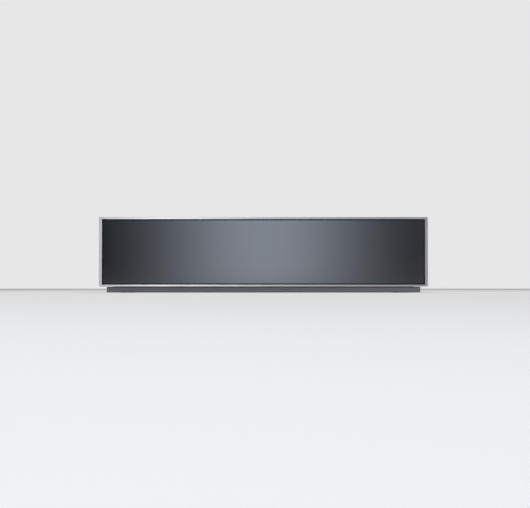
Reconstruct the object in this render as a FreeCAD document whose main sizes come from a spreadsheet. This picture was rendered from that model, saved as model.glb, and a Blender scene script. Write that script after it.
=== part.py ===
"""Built-in vacuum sealing drawer, 60 cm wide, for a 14 cm niche.

Millimetres. +Z is up, the dark glass front faces -Y and +X is to the right of someone who
faces it. The origin is the middle of the footprint, on the surface that the housing stands on.
A sheet-steel housing stays in the cabinet. A drawer on full-extension roller runners carries
the front, the chamber with its glass lid and sealing bar, the pump and the electronics.
"""
import FreeCAD, Part

import math
import os

import Sketcher
from FreeCAD import Placement, Rotation, Vector

doc = FreeCAD.newDocument("vacuum_sealing_drawer")

# Driving dimensions, in millimetres and degrees
SIZES = {
    # Front panel and the strip under it
    "front_width": 590,
    "front_height": 125,
    "front_depth": 42,
    "frame_sheet": 1.5,
    "frame_side_face": 5,
    "frame_top_face": 4,
    "frame_bottom_face": 3.4,
    "frame_edge_radius": 1,
    "front_glass_thickness": 4,
    "front_glass_setback": 0.4,
    "glass_edge_bevel": 0.6,
    "glass_joint_gap": 1.6,
    "glass_joint_setback": 1.5,
    "carrier_gap": 2,
    "carrier_lip": 8,
    "front_overhang": 8.75,
    "strip_height": 10.1,
    "strip_depth": 10,
    "strip_foot": 0.4,
    "strip_gap": 0.5,
    "strip_edge_radius": 1.2,
    # Housing
    "housing_flange": 10.25,
    "housing_depth": 500,
    "housing_height": 136,
    "housing_sheet": 1,
    "base_pad_height": 2,
    "base_pad_width": 24,
    "base_pad_length": 46,
    "base_lip": 12,
    "top_flange": 14,
    "front_gap": 5,
    "cabinet_screw_radius": 2.25,
    "cabinet_screw_spacing": 70,
    "buffer_width": 9,
    "buffer_spacing": 88,
    "bead_height": 1.5,
    "bead_width": 16,
    "bead_inset": 64,
    "rear_vent_width": 4,
    "rear_vent_height": 62,
    "rear_vent_pitch": 10,
    "rear_vents": 8,
    "cord_hole_width": 74,
    "cord_hole_height": 48,
    "brace_width": 22,
    "rail_depth": 20,
    "side_slot_length": 200,
    # Runners
    "runner_space": 13,
    "runner_height": 46,
    "runner_centre": 58,
    "runner_sheet": 1.2,
    "runner_outer_length": 462,
    "runner_middle_length": 440,
    "runner_inner_length": 450,
    "runner_setback": 4,
    "runner_slot_width": 4.8,
    "runner_slot_length": 12,
    "runner_web_gap": 1.4,
    "runner_lip_gap": 0.6,
    "roller_diameter": 4.2,
    "roller_length": 4.6,
    "roller_clearance": 0.3,
    "roller_pitch": 90,
    "cage_length": 140,
    "cage_sheet": 0.6,
    "outer_cage_start": 190,
    "inner_cage_start": 155,
    # Push latch
    "latch_width": 34,
    "latch_height": 26,
    "latch_length": 18,
    "latch_centre": 72,
    "plunger_width": 9,
    "plunger_fit": 0.08,
    "plunger_gap": 0.3,
    "plunger_stroke": 3,
    "plunger_nose": 1.2,
    # Drawer body
    "drawer_clearance": 2.5,
    "drawer_sheet": 1.2,
    "drawer_length": 476,
    "drawer_lip": 10,
    "deck_height": 108,
    "side_vent_length": 34,
    "side_vent_height": 4,
    "side_vent_pitch": 10,
    "side_vents": 4,
    "side_vent_setback": 68,
    "grille_slots": 7,
    "grille_slot_height": 4,
    # Chamber
    "chamber_side_gap": 20.8,
    "chamber_length": 285,
    "chamber_depth": 86,
    "chamber_corner": 30,
    "chamber_floor_radius": 12,
    "chamber_wall": 1.5,
    "chamber_flange": 14,
    "rim_corner": 18,
    "chamber_setback": 29,
    "insert_thickness": 4,
    "insert_gap": 4,
    "insert_edge_gap": 1,
    "insert_slot_width": 24,
    "insert_slot_length": 16,
    "insert_slot_inset": 58,
    # Lid and its hinges
    "lid_thickness": 10,
    "lid_inset": 1,
    "lid_corner": 14,
    "lid_bevel": 1.2,
    "lid_seal_height": 4,
    "lid_seal_width": 8,
    "lid_seal_inset": 3,
    "seat_gap": 0.3,
    "hinge_setback": 18,
    "hinge_inset": 40,
    "hinge_width": 32,
    "hinge_ear": 5,
    "hinge_side_gap": 0.3,
    "hinge_pin_radius": 3,
    "hinge_fit": 0.05,
    "hinge_knuckle": 6.5,
    "hinge_foot": 3,
    "hinge_arm_reach": 12,
    "hinge_arm_plate": 2,
    # Sealing bar
    "bar_end_gap": 15,
    "bar_width": 14,
    "bar_height": 22,
    "bar_travel": 5,
    "bar_gap": 0.5,
    "bar_shoulder": 3,
    "band_width": 6,
    "band_thickness": 0.6,
    "counter_bar_width": 12,
    "counter_bar_drop": 7.8,
    "counter_bar_bevel": 3,
    "lift_inset": 55,
    "lift_body": 20,
    "lift_gap": 1,
    "lift_height": 42,
    "lift_rod_radius": 4,
    "lift_fit": 0.05,
    "lift_rod_clearance": 8,
    # Controls
    "control_width": 118,
    "control_side_gap": 12.8,
    "control_gap": 6,
    "control_glass_thickness": 4,
    "control_border": 9,
    "control_corner": 6,
    "control_board_thickness": 1.6,
    "chip_width": 18,
    "chip_height": 3,
    "chip_pitch": 88,
    "chips": 3,
    # Pump and motor
    "pump_side_gap": 22,
    "pump_width": 92,
    "pump_length": 88,
    "pump_height": 72,
    "pump_setback": 28,
    "pump_fin": 5,
    "pump_fins": 8,
    "pump_fin_thickness": 3.6,
    "pump_cover_radius": 33,
    "pump_cover_depth": 10,
    "pump_plate": 3,
    "pump_mount_height": 8,
    "pump_mount_width": 18,
    "pump_elbow": 13,
    "elbow_reach": 23,
    "motor_radius": 35,
    "motor_length": 130,
    "motor_fin": 3,
    "motor_fins": 8,
    "motor_fin_thickness": 2,
    "motor_cap": 12,
    # Fan
    "fan_size": 80,
    "fan_depth": 25,
    "fan_duct_radius": 37.5,
    "fan_tip_gap": 1.2,
    "fan_hub_radius": 16,
    "fan_hub_depth": 16,
    "fan_hub_gap": 0.6,
    "fan_blades": 7,
    "fan_blade_depth": 12.8,
    "fan_blade_turn": 30,
    "fan_blade_thickness": 1.6,
    "fan_shaft_radius": 1.5,
    "fan_shaft_fit": 0.05,
    "fan_strut": 4,
    # Valves, hoses, port
    "valve_width": 84,
    "valve_length": 42,
    "valve_height": 40,
    "valve_from_rear": 96,
    "valve_port_inset": 8,
    "valve_port_setback": 10,
    "coils": 3,
    "coil_width": 18,
    "coil_height": 28,
    "coil_setback": 13.5,
    "coil_nut_width": 6,
    "sensor_width": 9,
    "sensor_height": 14,
    "outlet_flange": 10,
    "outlet_flange_depth": 3,
    "outlet_width": 12,
    "outlet_height": 8,
    "outlet_fit": 0.05,
    "hose_radius": 5,
    "fitting_width": 12,
    "fitting_length": 7,
    "port_radius": 16,
    "port_neck": 17,
    "port_bore": 5,
    "port_bore_length": 10,
    "port_floor": 15,
    "port_height": 10,
    "port_rim": 5,
    "port_cover_thickness": 3,
    "port_cover_lap": 1.2,
    "port_ear_width": 10.6,
    "port_slot_width": 5.4,
    "port_knuckle": 3.8,
    "port_pin_radius": 1.5,
    "port_pin_fit": 0.05,
    # Electrics
    "board_length": 104,
    "board_thickness": 1.6,
    "board_post": 9,
    "board_post_width": 5,
    "transformer_width": 78,
    "transformer_gap": 71,
    "transformer_length": 62,
    "transformer_height": 66,
    "transformer_overhang": 12,
    "transformer_coil_width": 40,
    "gland_bore": 4.2,
    "gland_radius": 8,
    "gland_fit": 0.1,
    "gland_flange": 12,
    "gland_length": 16,
    "gland_nut": 3,
    "gland_inset": 80.8,
    "gland_height": 84,
}

sheet = doc.addObject("Spreadsheet::Sheet", "Sizes")
for row, (alias, number) in enumerate(SIZES.items(), start=1):
    sheet.set(f"A{row}", alias)
    sheet.set(f"B{row}", str(number))
    sheet.setAlias(f"B{row}", alias)
doc.recompute()


class Size:
    """A length that knows its number and the sheet formula that it comes from."""

    def __init__(self, number, formula):
        self.number = number
        self.formula = formula

    def __float__(self):
        return float(self.number)

    def __neg__(self):
        return Size(-self.number, f"(-{self.formula})")

    def __add__(self, other):
        return Size(self.number + float(other), f"({self.formula} + {formula(other)})")

    def __radd__(self, other):
        return Size(float(other) + self.number, f"({formula(other)} + {self.formula})")

    def __sub__(self, other):
        return Size(self.number - float(other), f"({self.formula} - {formula(other)})")

    def __rsub__(self, other):
        return Size(float(other) - self.number, f"({formula(other)} - {self.formula})")

    def __mul__(self, other):
        return Size(self.number * float(other), f"({self.formula} * {formula(other)})")

    def __rmul__(self, other):
        return Size(float(other) * self.number, f"({formula(other)} * {self.formula})")

    def __truediv__(self, other):
        return Size(self.number / float(other), f"({self.formula} / {formula(other)})")


def formula(length):
    """The text of a length for an expression."""
    return length.formula if isinstance(length, Size) else repr(float(length))


class Sheet:
    """The driving dimensions by name."""


d = Sheet()
for alias in SIZES:
    setattr(d, alias, Size(float(sheet.get(alias)), f"Sizes.{alias}"))


def bind(obj, prop, length):
    """Tie a property to the sheet."""
    obj.setExpression(prop, formula(length))


def point(x, y, z):
    """A vector from lengths."""
    return Vector(float(x), float(y), float(z))


# Outlines for sketches
def polygon(*corners):
    """A closed outline of straight runs."""
    return ("polygon", corners)


def rectangle(left, low, right, high):
    """A closed outline with four corners."""
    return polygon((left, low), (right, low), (right, high), (left, high))


def rounded(left, low, right, high, radius):
    """A rectangle with round corners."""
    return ("rounded", (left, low, right, high, radius))


def hexagon(x, y, radius):
    """A six-sided outline with its corners on a circle."""
    turns = [math.radians(60 * i) for i in range(6)]
    return polygon(*[(x + radius * math.cos(a), y + radius * math.sin(a)) for a in turns])


def circle(x, y, radius):
    """A round outline."""
    return ("circle", (x, y, radius))


def hold(sketch, kind, places, length):
    """Add a constraint with a size that follows the sheet."""
    number = sketch.addConstraint(Sketcher.Constraint(kind, *places, float(length)))
    sketch.setExpression(f"Constraints[{number}]", formula(length))


def draw_polygon(sketch, corners):
    """Straight runs, each corner held from the origin."""
    first = sketch.GeometryCount
    count = len(corners)
    points = [point(x, y, 0) for x, y in corners]
    lines = [Part.LineSegment(points[i], points[(i + 1) % count]) for i in range(count)]
    sketch.addGeometry(lines, False)
    for i in range(count):
        after = first + (i + 1) % count
        sketch.addConstraint(Sketcher.Constraint("Coincident", first + i, 2, after, 1))
    for i, (x, y) in enumerate(corners):
        hold(sketch, "DistanceX", (-1, 1, first + i, 1), x)
        hold(sketch, "DistanceY", (-1, 1, first + i, 1), y)


def draw_circle(sketch, x, y, radius):
    """A circle held by its centre and radius."""
    first = sketch.GeometryCount
    sketch.addGeometry([Part.Circle(point(x, y, 0), Vector(0, 0, 1), float(radius))], False)
    hold(sketch, "DistanceX", (-1, 1, first, 3), x)
    hold(sketch, "DistanceY", (-1, 1, first, 3), y)
    hold(sketch, "Radius", (first,), radius)


def draw_rounded(sketch, left, low, right, high, radius):
    """Four sides and four corner arcs, tangent to each other."""
    first = sketch.GeometryCount
    centres = [
        (right - radius, low + radius),
        (right - radius, high - radius),
        (left + radius, high - radius),
        (left + radius, low + radius),
    ]
    lines = [
        (point(left + radius, low, 0), point(right - radius, low, 0)),
        (point(right, low + radius, 0), point(right, high - radius, 0)),
        (point(right - radius, high, 0), point(left + radius, high, 0)),
        (point(left, high - radius, 0), point(left, low + radius, 0)),
    ]
    shapes = []
    for i, (start, end) in enumerate(lines):
        round_corner = Part.Circle(point(*centres[i], 0), Vector(0, 0, 1), float(radius))
        begin = (i - 1) * math.pi / 2
        shapes.append(Part.LineSegment(start, end))
        shapes.append(Part.ArcOfCircle(round_corner, begin, begin + math.pi / 2))
    sketch.addGeometry(shapes, False)
    for i in range(8):
        after = first + (i + 1) % 8
        sketch.addConstraint(Sketcher.Constraint("Tangent", first + i, 2, after, 1))
    for i in (0, 4):
        sketch.addConstraint(Sketcher.Constraint("Horizontal", first + i))
    for i in (2, 6):
        sketch.addConstraint(Sketcher.Constraint("Vertical", first + i))
    for i in (3, 5, 7):
        sketch.addConstraint(Sketcher.Constraint("Equal", first + 1, first + i))
    hold(sketch, "Radius", (first + 1,), radius)
    for i in (0, 2):
        hold(sketch, "DistanceX", (-1, 1, first + 2 * i + 1, 3), centres[i][0])
        hold(sketch, "DistanceY", (-1, 1, first + 2 * i + 1, 3), centres[i][1])


DRAW = {"polygon": lambda s, v: draw_polygon(s, v)}
DRAW["circle"] = lambda s, v: draw_circle(s, *v)
DRAW["rounded"] = lambda s, v: draw_rounded(s, *v)

# Each view's sketch plane, and whether its normal points up its own axis
PLANES = {"top": ("XY_Plane", 1), "front": ("XZ_Plane", -1), "side": ("YZ_Plane", 1)}


def origin_feature(body, role):
    """A plane or axis of the body's own origin."""
    return [f for f in body.Origin.OriginFeatures if f.Role == role][0]


def new_body(name):
    """An empty PartDesign body."""
    body = doc.addObject("PartDesign::Body", name)
    body.Label = name
    return body


def sketch_on(body, name, view, level, outlines):
    """A sketch at a level: (x, y) seen from the top, (x, z) from the front, (y, z) side."""
    role, sign = PLANES[view]
    sketch = body.newObject("Sketcher::SketchObject", name)
    sketch.AttachmentSupport = [(origin_feature(body, role), "")]
    sketch.MapMode = "FlatFace"
    bind(sketch, "AttachmentOffset.Base.z", sign * level)
    for kind, values in outlines:
        DRAW[kind](sketch, values)
    return sketch


def pad(body, name, view, start, length, *outlines):
    """Add material from start, along the view's axis in its positive sense."""
    feature = body.newObject("PartDesign::Pad", name)
    feature.Profile = sketch_on(body, f"{name}_outline", view, start, outlines)
    bind(feature, "Length", length)
    feature.Reversed = view == "front"
    return feature


def pocket(body, name, view, start, length, *outlines):
    """Cut material away from start, along the view's axis in its positive sense."""
    feature = body.newObject("PartDesign::Pocket", name)
    feature.Profile = sketch_on(body, f"{name}_outline", view, start, outlines)
    bind(feature, "Length", length)
    feature.Reversed = view != "front"
    return feature


def repeat(body, feature, role, pitch, count):
    """Repeat a feature along one of the body's axes."""
    copies = body.newObject("PartDesign::LinearPattern", f"{feature.Name}_row")
    copies.Originals = [feature]
    copies.Direction = (origin_feature(body, role), [""])
    bind(copies, "Length", pitch * (count - 1))
    bind(copies, "Occurrences", count)
    body.Tip = copies
    return copies


def dress(body, kind, name, size, pick):
    """Round or bevel the edges of the body's tip that pick chooses."""
    doc.recompute()
    base = body.Tip
    edges = [f"Edge{i}" for i, edge in enumerate(base.Shape.Edges, start=1) if pick(edge)]
    if not edges:
        raise ValueError(f"{name} finds no edge")
    feature = body.newObject(f"PartDesign::{kind}", name)
    feature.Base = (base, edges)
    bind(feature, "Radius" if kind == "Fillet" else "Size", size)
    return feature


def near(a, b, slack=0.01):
    """Whether two lengths are the same."""
    return abs(float(a) - float(b)) < slack


def is_line_along(edge, axis):
    """Whether a straight edge runs along the named axis."""
    box = edge.BoundBox
    spans = {"x": box.XLength, "y": box.YLength, "z": box.ZLength}
    own = spans.pop(axis)
    return own > 0.01 and max(spans.values()) < 0.01


def lies_at(edge, axis, level):
    """Whether a whole edge lies at one level of the named axis."""
    box = edge.BoundBox
    low, high = {
        "x": (box.XMin, box.XMax),
        "y": (box.YMin, box.YMax),
        "z": (box.ZMin, box.ZMax),
    }[axis]
    return near(low, level) and near(high, level)


# Part primitives and booleans
def block(name, low, high):
    """A box between two corners."""
    box = doc.addObject("Part::Box", name)
    for prop, a, b in zip(("Length", "Width", "Height"), low, high):
        bind(box, prop, b - a)
    for axis, a in zip("xyz", low):
        bind(box, f"Placement.Base.{axis}", a)
    return box


TURNS = {
    "x": Rotation(Vector(0, 1, 0), 90),
    "y": Rotation(Vector(1, 0, 0), -90),
    "z": Rotation(),
}


def rod(name, axis, start, radius, length):
    """A cylinder from a start point, along an axis in its positive sense."""
    cylinder = doc.addObject("Part::Cylinder", name)
    cylinder.Placement = Placement(Vector(), TURNS[axis])
    bind(cylinder, "Radius", radius)
    bind(cylinder, "Height", length)
    for letter, place in zip("xyz", start):
        bind(cylinder, f"Placement.Base.{letter}", place)
    return cylinder


def fuse(name, *pieces):
    """One solid from pieces that touch or overlap."""
    result = doc.addObject("Part::MultiFuse", name)
    result.Shapes = list(pieces)
    result.Refine = True
    return result


def cut(name, base, *tools):
    """A piece with the tools taken away."""
    result = doc.addObject("Part::Cut", name)
    result.Base = base
    result.Tool = tools[0] if len(tools) == 1 else fuse(f"{name}_tools", *tools)
    result.Refine = True
    return result


def group(name, *pieces):
    """Separate solids in one node."""
    result = doc.addObject("Part::Compound", name)
    result.Links = list(pieces)
    return result


def feature(name, shape, place):
    """A piece whose shape is worked out from the sheet's numbers, put at a place."""
    result = doc.addObject("Part::Feature", name)
    result.Shape = shape
    result.Placement = Placement(place, Rotation())
    return result


NODES = []


def node(obj, name):
    """Name a finished piece."""
    obj.Label = name
    NODES.append(obj)
    return obj


# Places that several pieces share
half_front = d.front_width / 2
half_depth = (d.front_depth + d.front_gap + d.housing_depth) / 2
front_y = -half_depth
carrier_y = front_y + d.front_depth
flange_y = carrier_y + d.front_gap
rear_y = half_depth
front_z = d.strip_foot + d.strip_height + d.strip_gap
front_top = front_z + d.front_height
half_strip = half_front - d.front_overhang
half_housing = half_strip - d.housing_flange
half_inside = half_housing - d.housing_sheet
base_z = d.base_pad_height
base_top = base_z + d.housing_sheet
half_drawer = half_inside - d.runner_space
drawer_inside = half_drawer - d.drawer_sheet
drawer_z = d.strip_foot + d.strip_height + d.drawer_clearance
floor_z = drawer_z + d.drawer_sheet
drawer_rear = carrier_y + d.drawer_length
deck_under = d.deck_height - d.drawer_sheet

control_right = drawer_inside - d.control_side_gap
control_left = control_right - d.control_width
chamber_left = -drawer_inside + d.chamber_side_gap
chamber_right = control_left - d.control_gap - d.chamber_flange
chamber_front = carrier_y + d.chamber_setback
chamber_rear = chamber_front + d.chamber_length
rim_z = d.deck_height + d.chamber_wall
chamber_floor = rim_z - d.chamber_depth
lid_z = rim_z + d.seat_gap + d.lid_seal_height
hinge_y = chamber_rear + d.chamber_flange + d.hinge_setback
hinge_z = lid_z + d.lid_thickness / 2
hinge_places = [chamber_left + d.hinge_inset, chamber_right - d.hinge_inset]

control_front = chamber_front - d.chamber_flange
control_rear = chamber_rear + d.chamber_flange

pump_x = drawer_inside - d.pump_side_gap - d.pump_width / 2
pump_front = carrier_y + d.pump_setback
pump_rear = pump_front + d.pump_length
pump_z = floor_z + d.pump_mount_height
shaft_z = pump_z + d.pump_plate + d.motor_radius
valve_y = drawer_rear - d.valve_from_rear
fan_y = drawer_rear - d.drawer_sheet - d.fan_depth
screw_x = (half_housing + half_strip) / 2
base_front = flange_y + d.strip_depth

outlet_z = chamber_floor + d.chamber_floor_radius + d.outlet_flange
outlet_end = chamber_rear + d.chamber_wall + d.outlet_flange_depth + d.fitting_length
bar_middle = chamber_front + d.chamber_floor_radius + d.lift_body / 2 + d.lift_gap
bar_front = bar_middle - d.bar_width / 2
bar_rear = bar_front + d.bar_width
counter_z = lid_z - d.counter_bar_drop
bar_top = counter_z - d.bar_travel - d.bar_gap
bar_body_top = bar_top - d.band_thickness
bar_z = bar_body_top - d.bar_height
bar_left = chamber_left + d.bar_end_gap
bar_length = chamber_right - d.bar_end_gap - bar_left
lift_places = [chamber_left + d.lift_inset, chamber_right - d.lift_inset]
lid_rear = hinge_y - d.hinge_knuckle - d.hinge_arm_plate

pump_side = pump_x - d.pump_width / 2 + d.pump_fin
inlet_y = pump_front + d.pump_length / 2
elbow_x = pump_side - d.pump_fin - d.elbow_reach
valve_right = elbow_x + d.pump_elbow / 2 + d.seat_gap
valve_left = valve_right - d.valve_width
valve_top = floor_z + d.valve_height
outlet_x = valve_left + d.valve_port_inset
coil_pitch = d.valve_width / d.coils
port_x = valve_right - coil_pitch / 2
port_y = valve_y + d.valve_length - d.valve_port_setback
port_top = d.deck_height + d.port_height
port_under = port_top - d.port_bore_length - d.port_floor
cover_radius = d.port_radius - d.port_rim + d.port_cover_lap
ear_half = d.port_cover_thickness
port_hinge_y = port_y + cover_radius + math.sqrt(2) * ear_half + d.seat_gap
port_hinge_z = port_top + d.port_cover_thickness
board_left = -drawer_inside + d.drawer_lip
transformer_left = valve_left - d.transformer_gap - d.transformer_width
board_width = transformer_left - d.drawer_lip - board_left
gland_x = -drawer_inside + d.gland_inset
board_front = chamber_rear + 2 * d.hinge_setback


# Housing, which stays in the cabinet
def make_housing_base():
    """Floor sheet with lips up the sides and three pressed beads."""
    body = new_body("housing_base")
    lip_top = base_z + d.base_lip
    back = rear_y - d.housing_sheet
    inner = half_inside - d.housing_sheet
    profile = polygon(
        (-half_inside, base_z), (half_inside, base_z), (half_inside, lip_top),
        (inner, lip_top), (inner, base_top), (-inner, base_top),
        (-inner, lip_top), (-half_inside, lip_top),
    )
    pad(body, "floor", "front", base_front, back - base_front, profile)
    half_bead = d.bead_width / 2
    crown = half_bead - d.bead_height
    beads = [
        polygon(
            (x - half_bead, base_top), (x + half_bead, base_top),
            (x + crown, base_top + d.bead_height), (x - crown, base_top + d.bead_height),
        )
        for x in (-half_housing / 2, 0, half_housing / 2)
    ]
    start = base_front + d.bead_inset
    pad(body, "beads", "front", start, back - start - d.bead_inset, *beads)
    node(body, "housing_base")


def make_housing_side(name, side):
    """Side wall with a flange over the top and a screwed flange at the front."""
    body = new_body(name)
    outer = side * half_housing
    inner = side * half_inside
    tip = side * (half_housing - d.top_flange)
    under = d.housing_height - d.housing_sheet
    profile = polygon(
        (outer, base_z), (inner, base_z), (inner, under), (tip, under),
        (tip, d.housing_height), (outer, d.housing_height),
    )
    pad(body, "wall", "front", flange_y, rear_y - flange_y, profile)
    flange = polygon(
        (inner, front_z), (side * half_strip, front_z),
        (side * half_strip, d.housing_height), (inner, d.housing_height),
    )
    pad(body, "front_flange", "front", flange_y, d.housing_sheet, flange)
    middle = front_z + d.front_height / 2
    start = -half_housing if side < 0 else half_inside
    notch = rectangle(flange_y, base_z, base_front, front_z)
    pocket(body, "strip_notch", "side", start, d.housing_sheet, notch)
    holes = [
        circle(side * screw_x, middle + step * d.cabinet_screw_spacing / 2,
               d.cabinet_screw_radius)
        for step in (-1, 1)
    ]
    pocket(body, "cabinet_holes", "front", flange_y, d.housing_sheet, *holes)
    reach = d.side_slot_length / 2
    low = d.housing_height - d.top_flange * 2
    slot = rectangle(-reach, low, reach, low + d.side_vent_height)
    pocket(body, "side_slot", "side", start, d.housing_sheet, slot)
    node(body, name)


def make_housing_rear():
    """Rear wall with the cord's way out and slots for the warm air."""
    body = new_body("housing_rear")
    back = rear_y - d.housing_sheet
    wall = rectangle(-half_inside, base_top, half_inside, d.housing_height - d.housing_sheet)
    pad(body, "wall", "front", back, d.housing_sheet, wall)
    half_hole = d.cord_hole_width / 2
    low = d.gland_height - d.cord_hole_height / 2
    cord_hole = rectangle(gland_x - half_hole, low, gland_x + half_hole,
                          low + d.cord_hole_height)
    pocket(body, "cord_hole", "front", back, d.housing_sheet, cord_hole)
    row = d.rear_vent_pitch * (d.rear_vents - 1)
    left = pump_x - row / 2 - d.rear_vent_width / 2
    vent_low = shaft_z - d.rear_vent_height / 2
    vent = rectangle(left, vent_low, left + d.rear_vent_width, vent_low + d.rear_vent_height)
    slots = pocket(body, "vent", "front", back, d.housing_sheet, vent)
    repeat(body, slots, "X_Axis", d.rear_vent_pitch, d.rear_vents)
    node(body, "housing_rear")


def make_rear_brace():
    """Angle across the top at the rear, which the side flanges carry."""
    body = new_body("rear_brace")
    back = rear_y - d.housing_sheet
    top = d.housing_height - d.housing_sheet
    front = back - d.brace_width
    inner = half_inside - d.top_flange
    profile = polygon(
        (front, top - d.housing_sheet), (back, top - d.housing_sheet), (back, top),
        (front, top),
    )
    pad(body, "top_leg", "side", -half_inside, 2 * half_inside, profile)
    lip = rectangle(front, top - d.base_lip, front + d.housing_sheet, top)
    pad(body, "lip", "side", -inner, 2 * inner, lip)
    node(body, "rear_brace")


def make_front_rail():
    """Channel across the front, low enough for the drawer to pass over it."""
    body = new_body("front_rail")
    top = d.strip_foot + d.strip_height - d.housing_sheet
    start = flange_y
    end = flange_y + d.rail_depth
    profile = polygon(
        (start, base_top), (end, base_top), (end, base_top + d.housing_sheet),
        (start + d.housing_sheet, base_top + d.housing_sheet),
        (start + d.housing_sheet, top - d.housing_sheet), (end, top - d.housing_sheet),
        (end, top), (start, top),
    )
    inner = half_inside - d.housing_sheet
    pad(body, "channel", "side", -inner, 2 * inner, profile)
    node(body, "front_rail")


def make_trim_strip():
    """Bent strip that closes the niche under the front."""
    body = new_body("trim_strip")
    low = d.strip_foot
    high = low + d.strip_height
    face = flange_y - d.housing_sheet
    back = face + d.strip_depth
    sheet_z = d.housing_sheet
    profile = polygon(
        (face, low), (back, low), (back, low + sheet_z), (flange_y, low + sheet_z),
        (flange_y, high - sheet_z), (back, high - sheet_z), (back, high), (face, high),
    )
    pad(body, "strip", "side", -half_strip, 2 * half_strip, profile)
    dress(
        body, "Fillet", "bends", d.strip_edge_radius,
        lambda e: is_line_along(e, "x") and lies_at(e, "y", face),
    )
    node(body, "trim_strip")


def make_base_pads():
    """Four plastic pads under the floor sheet."""
    pads = []
    along = d.housing_depth / 2 - d.base_pad_length
    across = half_housing - d.base_pad_width
    middle = (flange_y + rear_y) / 2
    for i, (sx, sy) in enumerate(((-1, -1), (1, -1), (1, 1), (-1, 1))):
        x = sx * across
        y = middle + sy * along
        half_x = d.base_pad_width / 2
        half_y = d.base_pad_length / 2
        pads.append(block(f"base_pad_{i}", (x - half_x, y - half_y, 0),
                          (x + half_x, y + half_y, base_z)))
    node(group("base_pads", *pads), "base_pads")


def make_front_buffers():
    """Rubber buffers on the front flanges, which meet the back of the front panel."""
    buffers = []
    middle = front_z + d.front_height / 2
    lift = d.buffer_spacing / 2
    half = d.buffer_width / 2
    front = carrier_y + d.seat_gap
    for i, (sx, sz) in enumerate(((-1, -1), (1, -1), (1, 1), (-1, 1))):
        x = sx * screw_x
        z = middle + sz * lift
        buffers.append(block(f"buffer_{i}", (x - half, front, z - half),
                             (x + half, flange_y, z + half)))
    node(group("front_buffers", *buffers), "front_buffers")


def make_push_latch():
    """Latch body on the rear wall and the sprung plunger that pushes the drawer out."""
    back = rear_y - d.housing_sheet
    front = back - d.latch_length
    low = d.latch_centre - d.latch_height / 2
    body = new_body("push_latch")
    case = rectangle(-d.latch_width / 2, low, d.latch_width / 2, low + d.latch_height)
    pad(body, "case", "front", front, d.latch_length, case)
    half = d.plunger_width / 2
    wide = half + d.plunger_fit
    bore = rectangle(-wide, d.latch_centre - wide, wide, d.latch_centre + wide)
    pocket(body, "bore", "front", front, d.latch_length - d.housing_sheet, bore)
    dress(body, "Chamfer", "edges", d.plunger_nose, lambda e: lies_at(e, "y", front))
    node(body, "push_latch")
    tip = drawer_rear + d.plunger_gap
    end = back - d.housing_sheet - d.plunger_stroke - d.plunger_gap
    plunger = new_body("ejector_plunger")
    shaft = rectangle(-half, d.latch_centre - half, half, d.latch_centre + half)
    pad(plunger, "shaft", "front", tip, end - tip, shaft)
    dress(
        plunger, "Chamfer", "nose", d.plunger_nose,
        lambda e: lies_at(e, "y", tip),
    )
    node(plunger, "ejector_plunger")


# Runners: outer on the housing, middle between, inner on the drawer, rollers in cages
def runner_x(side, offset):
    """A place measured from the housing's inner wall towards the drawer."""
    return side * (half_inside - offset)


row_gap = d.roller_diameter + 2 * d.roller_clearance
outer_half = d.runner_height / 2
middle_half = outer_half - d.runner_sheet - row_gap
inner_half = middle_half - d.runner_sheet - row_gap
middle_web = d.runner_sheet + d.runner_web_gap
lip_reach = d.runner_space - d.runner_sheet - d.runner_lip_gap
inner_lip = middle_web + 2 * d.runner_sheet + d.runner_lip_gap
runner_front = flange_y + d.runner_setback


def channel(side, web, tip, half, sheet):
    """Outline of a channel, from its web at one offset to its lips' tips at another."""
    step = sheet if float(tip) > float(web) else -sheet
    x = [runner_x(side, web), runner_x(side, tip), runner_x(side, web + step)]
    z = d.runner_centre
    return polygon(
        (x[0], z - half), (x[1], z - half), (x[1], z - half + sheet),
        (x[2], z - half + sheet), (x[2], z + half - sheet), (x[1], z + half - sheet),
        (x[1], z + half), (x[0], z + half),
    )


def make_runner_member(name, side, web, tip, half, length, start):
    """One member of a runner, a bent channel."""
    body = new_body(name)
    pad(body, "channel", "front", start, length, channel(side, web, tip, half, d.runner_sheet))
    node(body, name)
    return body


def drill_runner(body, side, wall, start, length):
    """Two screw slots through a member's web, into the sheet behind it."""
    inset = d.runner_height
    half_long = d.runner_slot_length / 2
    half_wide = d.runner_slot_width / 2
    slots = [
        rectangle(y - half_long, d.runner_centre - half_wide, y + half_long,
                  d.runner_centre + half_wide)
        for y in (start + inset, start + length - inset)
    ]
    outer = runner_x(side, wall)
    inner = runner_x(side, wall + d.runner_sheet)
    level = outer if side < 0 else inner
    pocket(body, "screw_slots", "side", level, d.runner_sheet, *slots)


def make_cage(name, side, web, half, start, first_roller):
    """A bent cage between two members, with rollers in windows in both its legs."""
    body = new_body(f"{name}_sheet")
    leg = half + d.roller_clearance + d.roller_diameter / 2 + d.cage_sheet / 2
    reach = first_roller + d.roller_length + 2 * d.roller_clearance
    outline = channel(side, web, reach, leg, d.cage_sheet)
    pad(body, "bent_sheet", "front", start, d.cage_length, outline)
    rollers = []
    windows = []
    slack = d.roller_clearance
    for step in (-1, 1):
        y = start + d.cage_length / 2 + step * d.roller_pitch / 2
        half_window = d.roller_diameter / 2 + slack
        ends = [
            runner_x(side, first_roller - slack),
            runner_x(side, first_roller + d.roller_length + slack),
        ]
        ends.sort(key=float)
        windows.append(rectangle(ends[0], y - half_window, ends[1], y + half_window))
        for up in (-1, 1):
            height = d.runner_centre + up * (leg - d.cage_sheet / 2)
            corner = runner_x(side, first_roller)
            if side > 0:
                corner = runner_x(side, first_roller + d.roller_length)
            rollers.append(rod(f"{name}_roller_{len(rollers)}", "x", (corner, y, height),
                               d.roller_diameter / 2, d.roller_length))
    low = d.runner_centre - leg
    pocket(body, "windows", "top", low, 2 * leg, *windows)
    node(group(name, body, *rollers), name)


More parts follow.
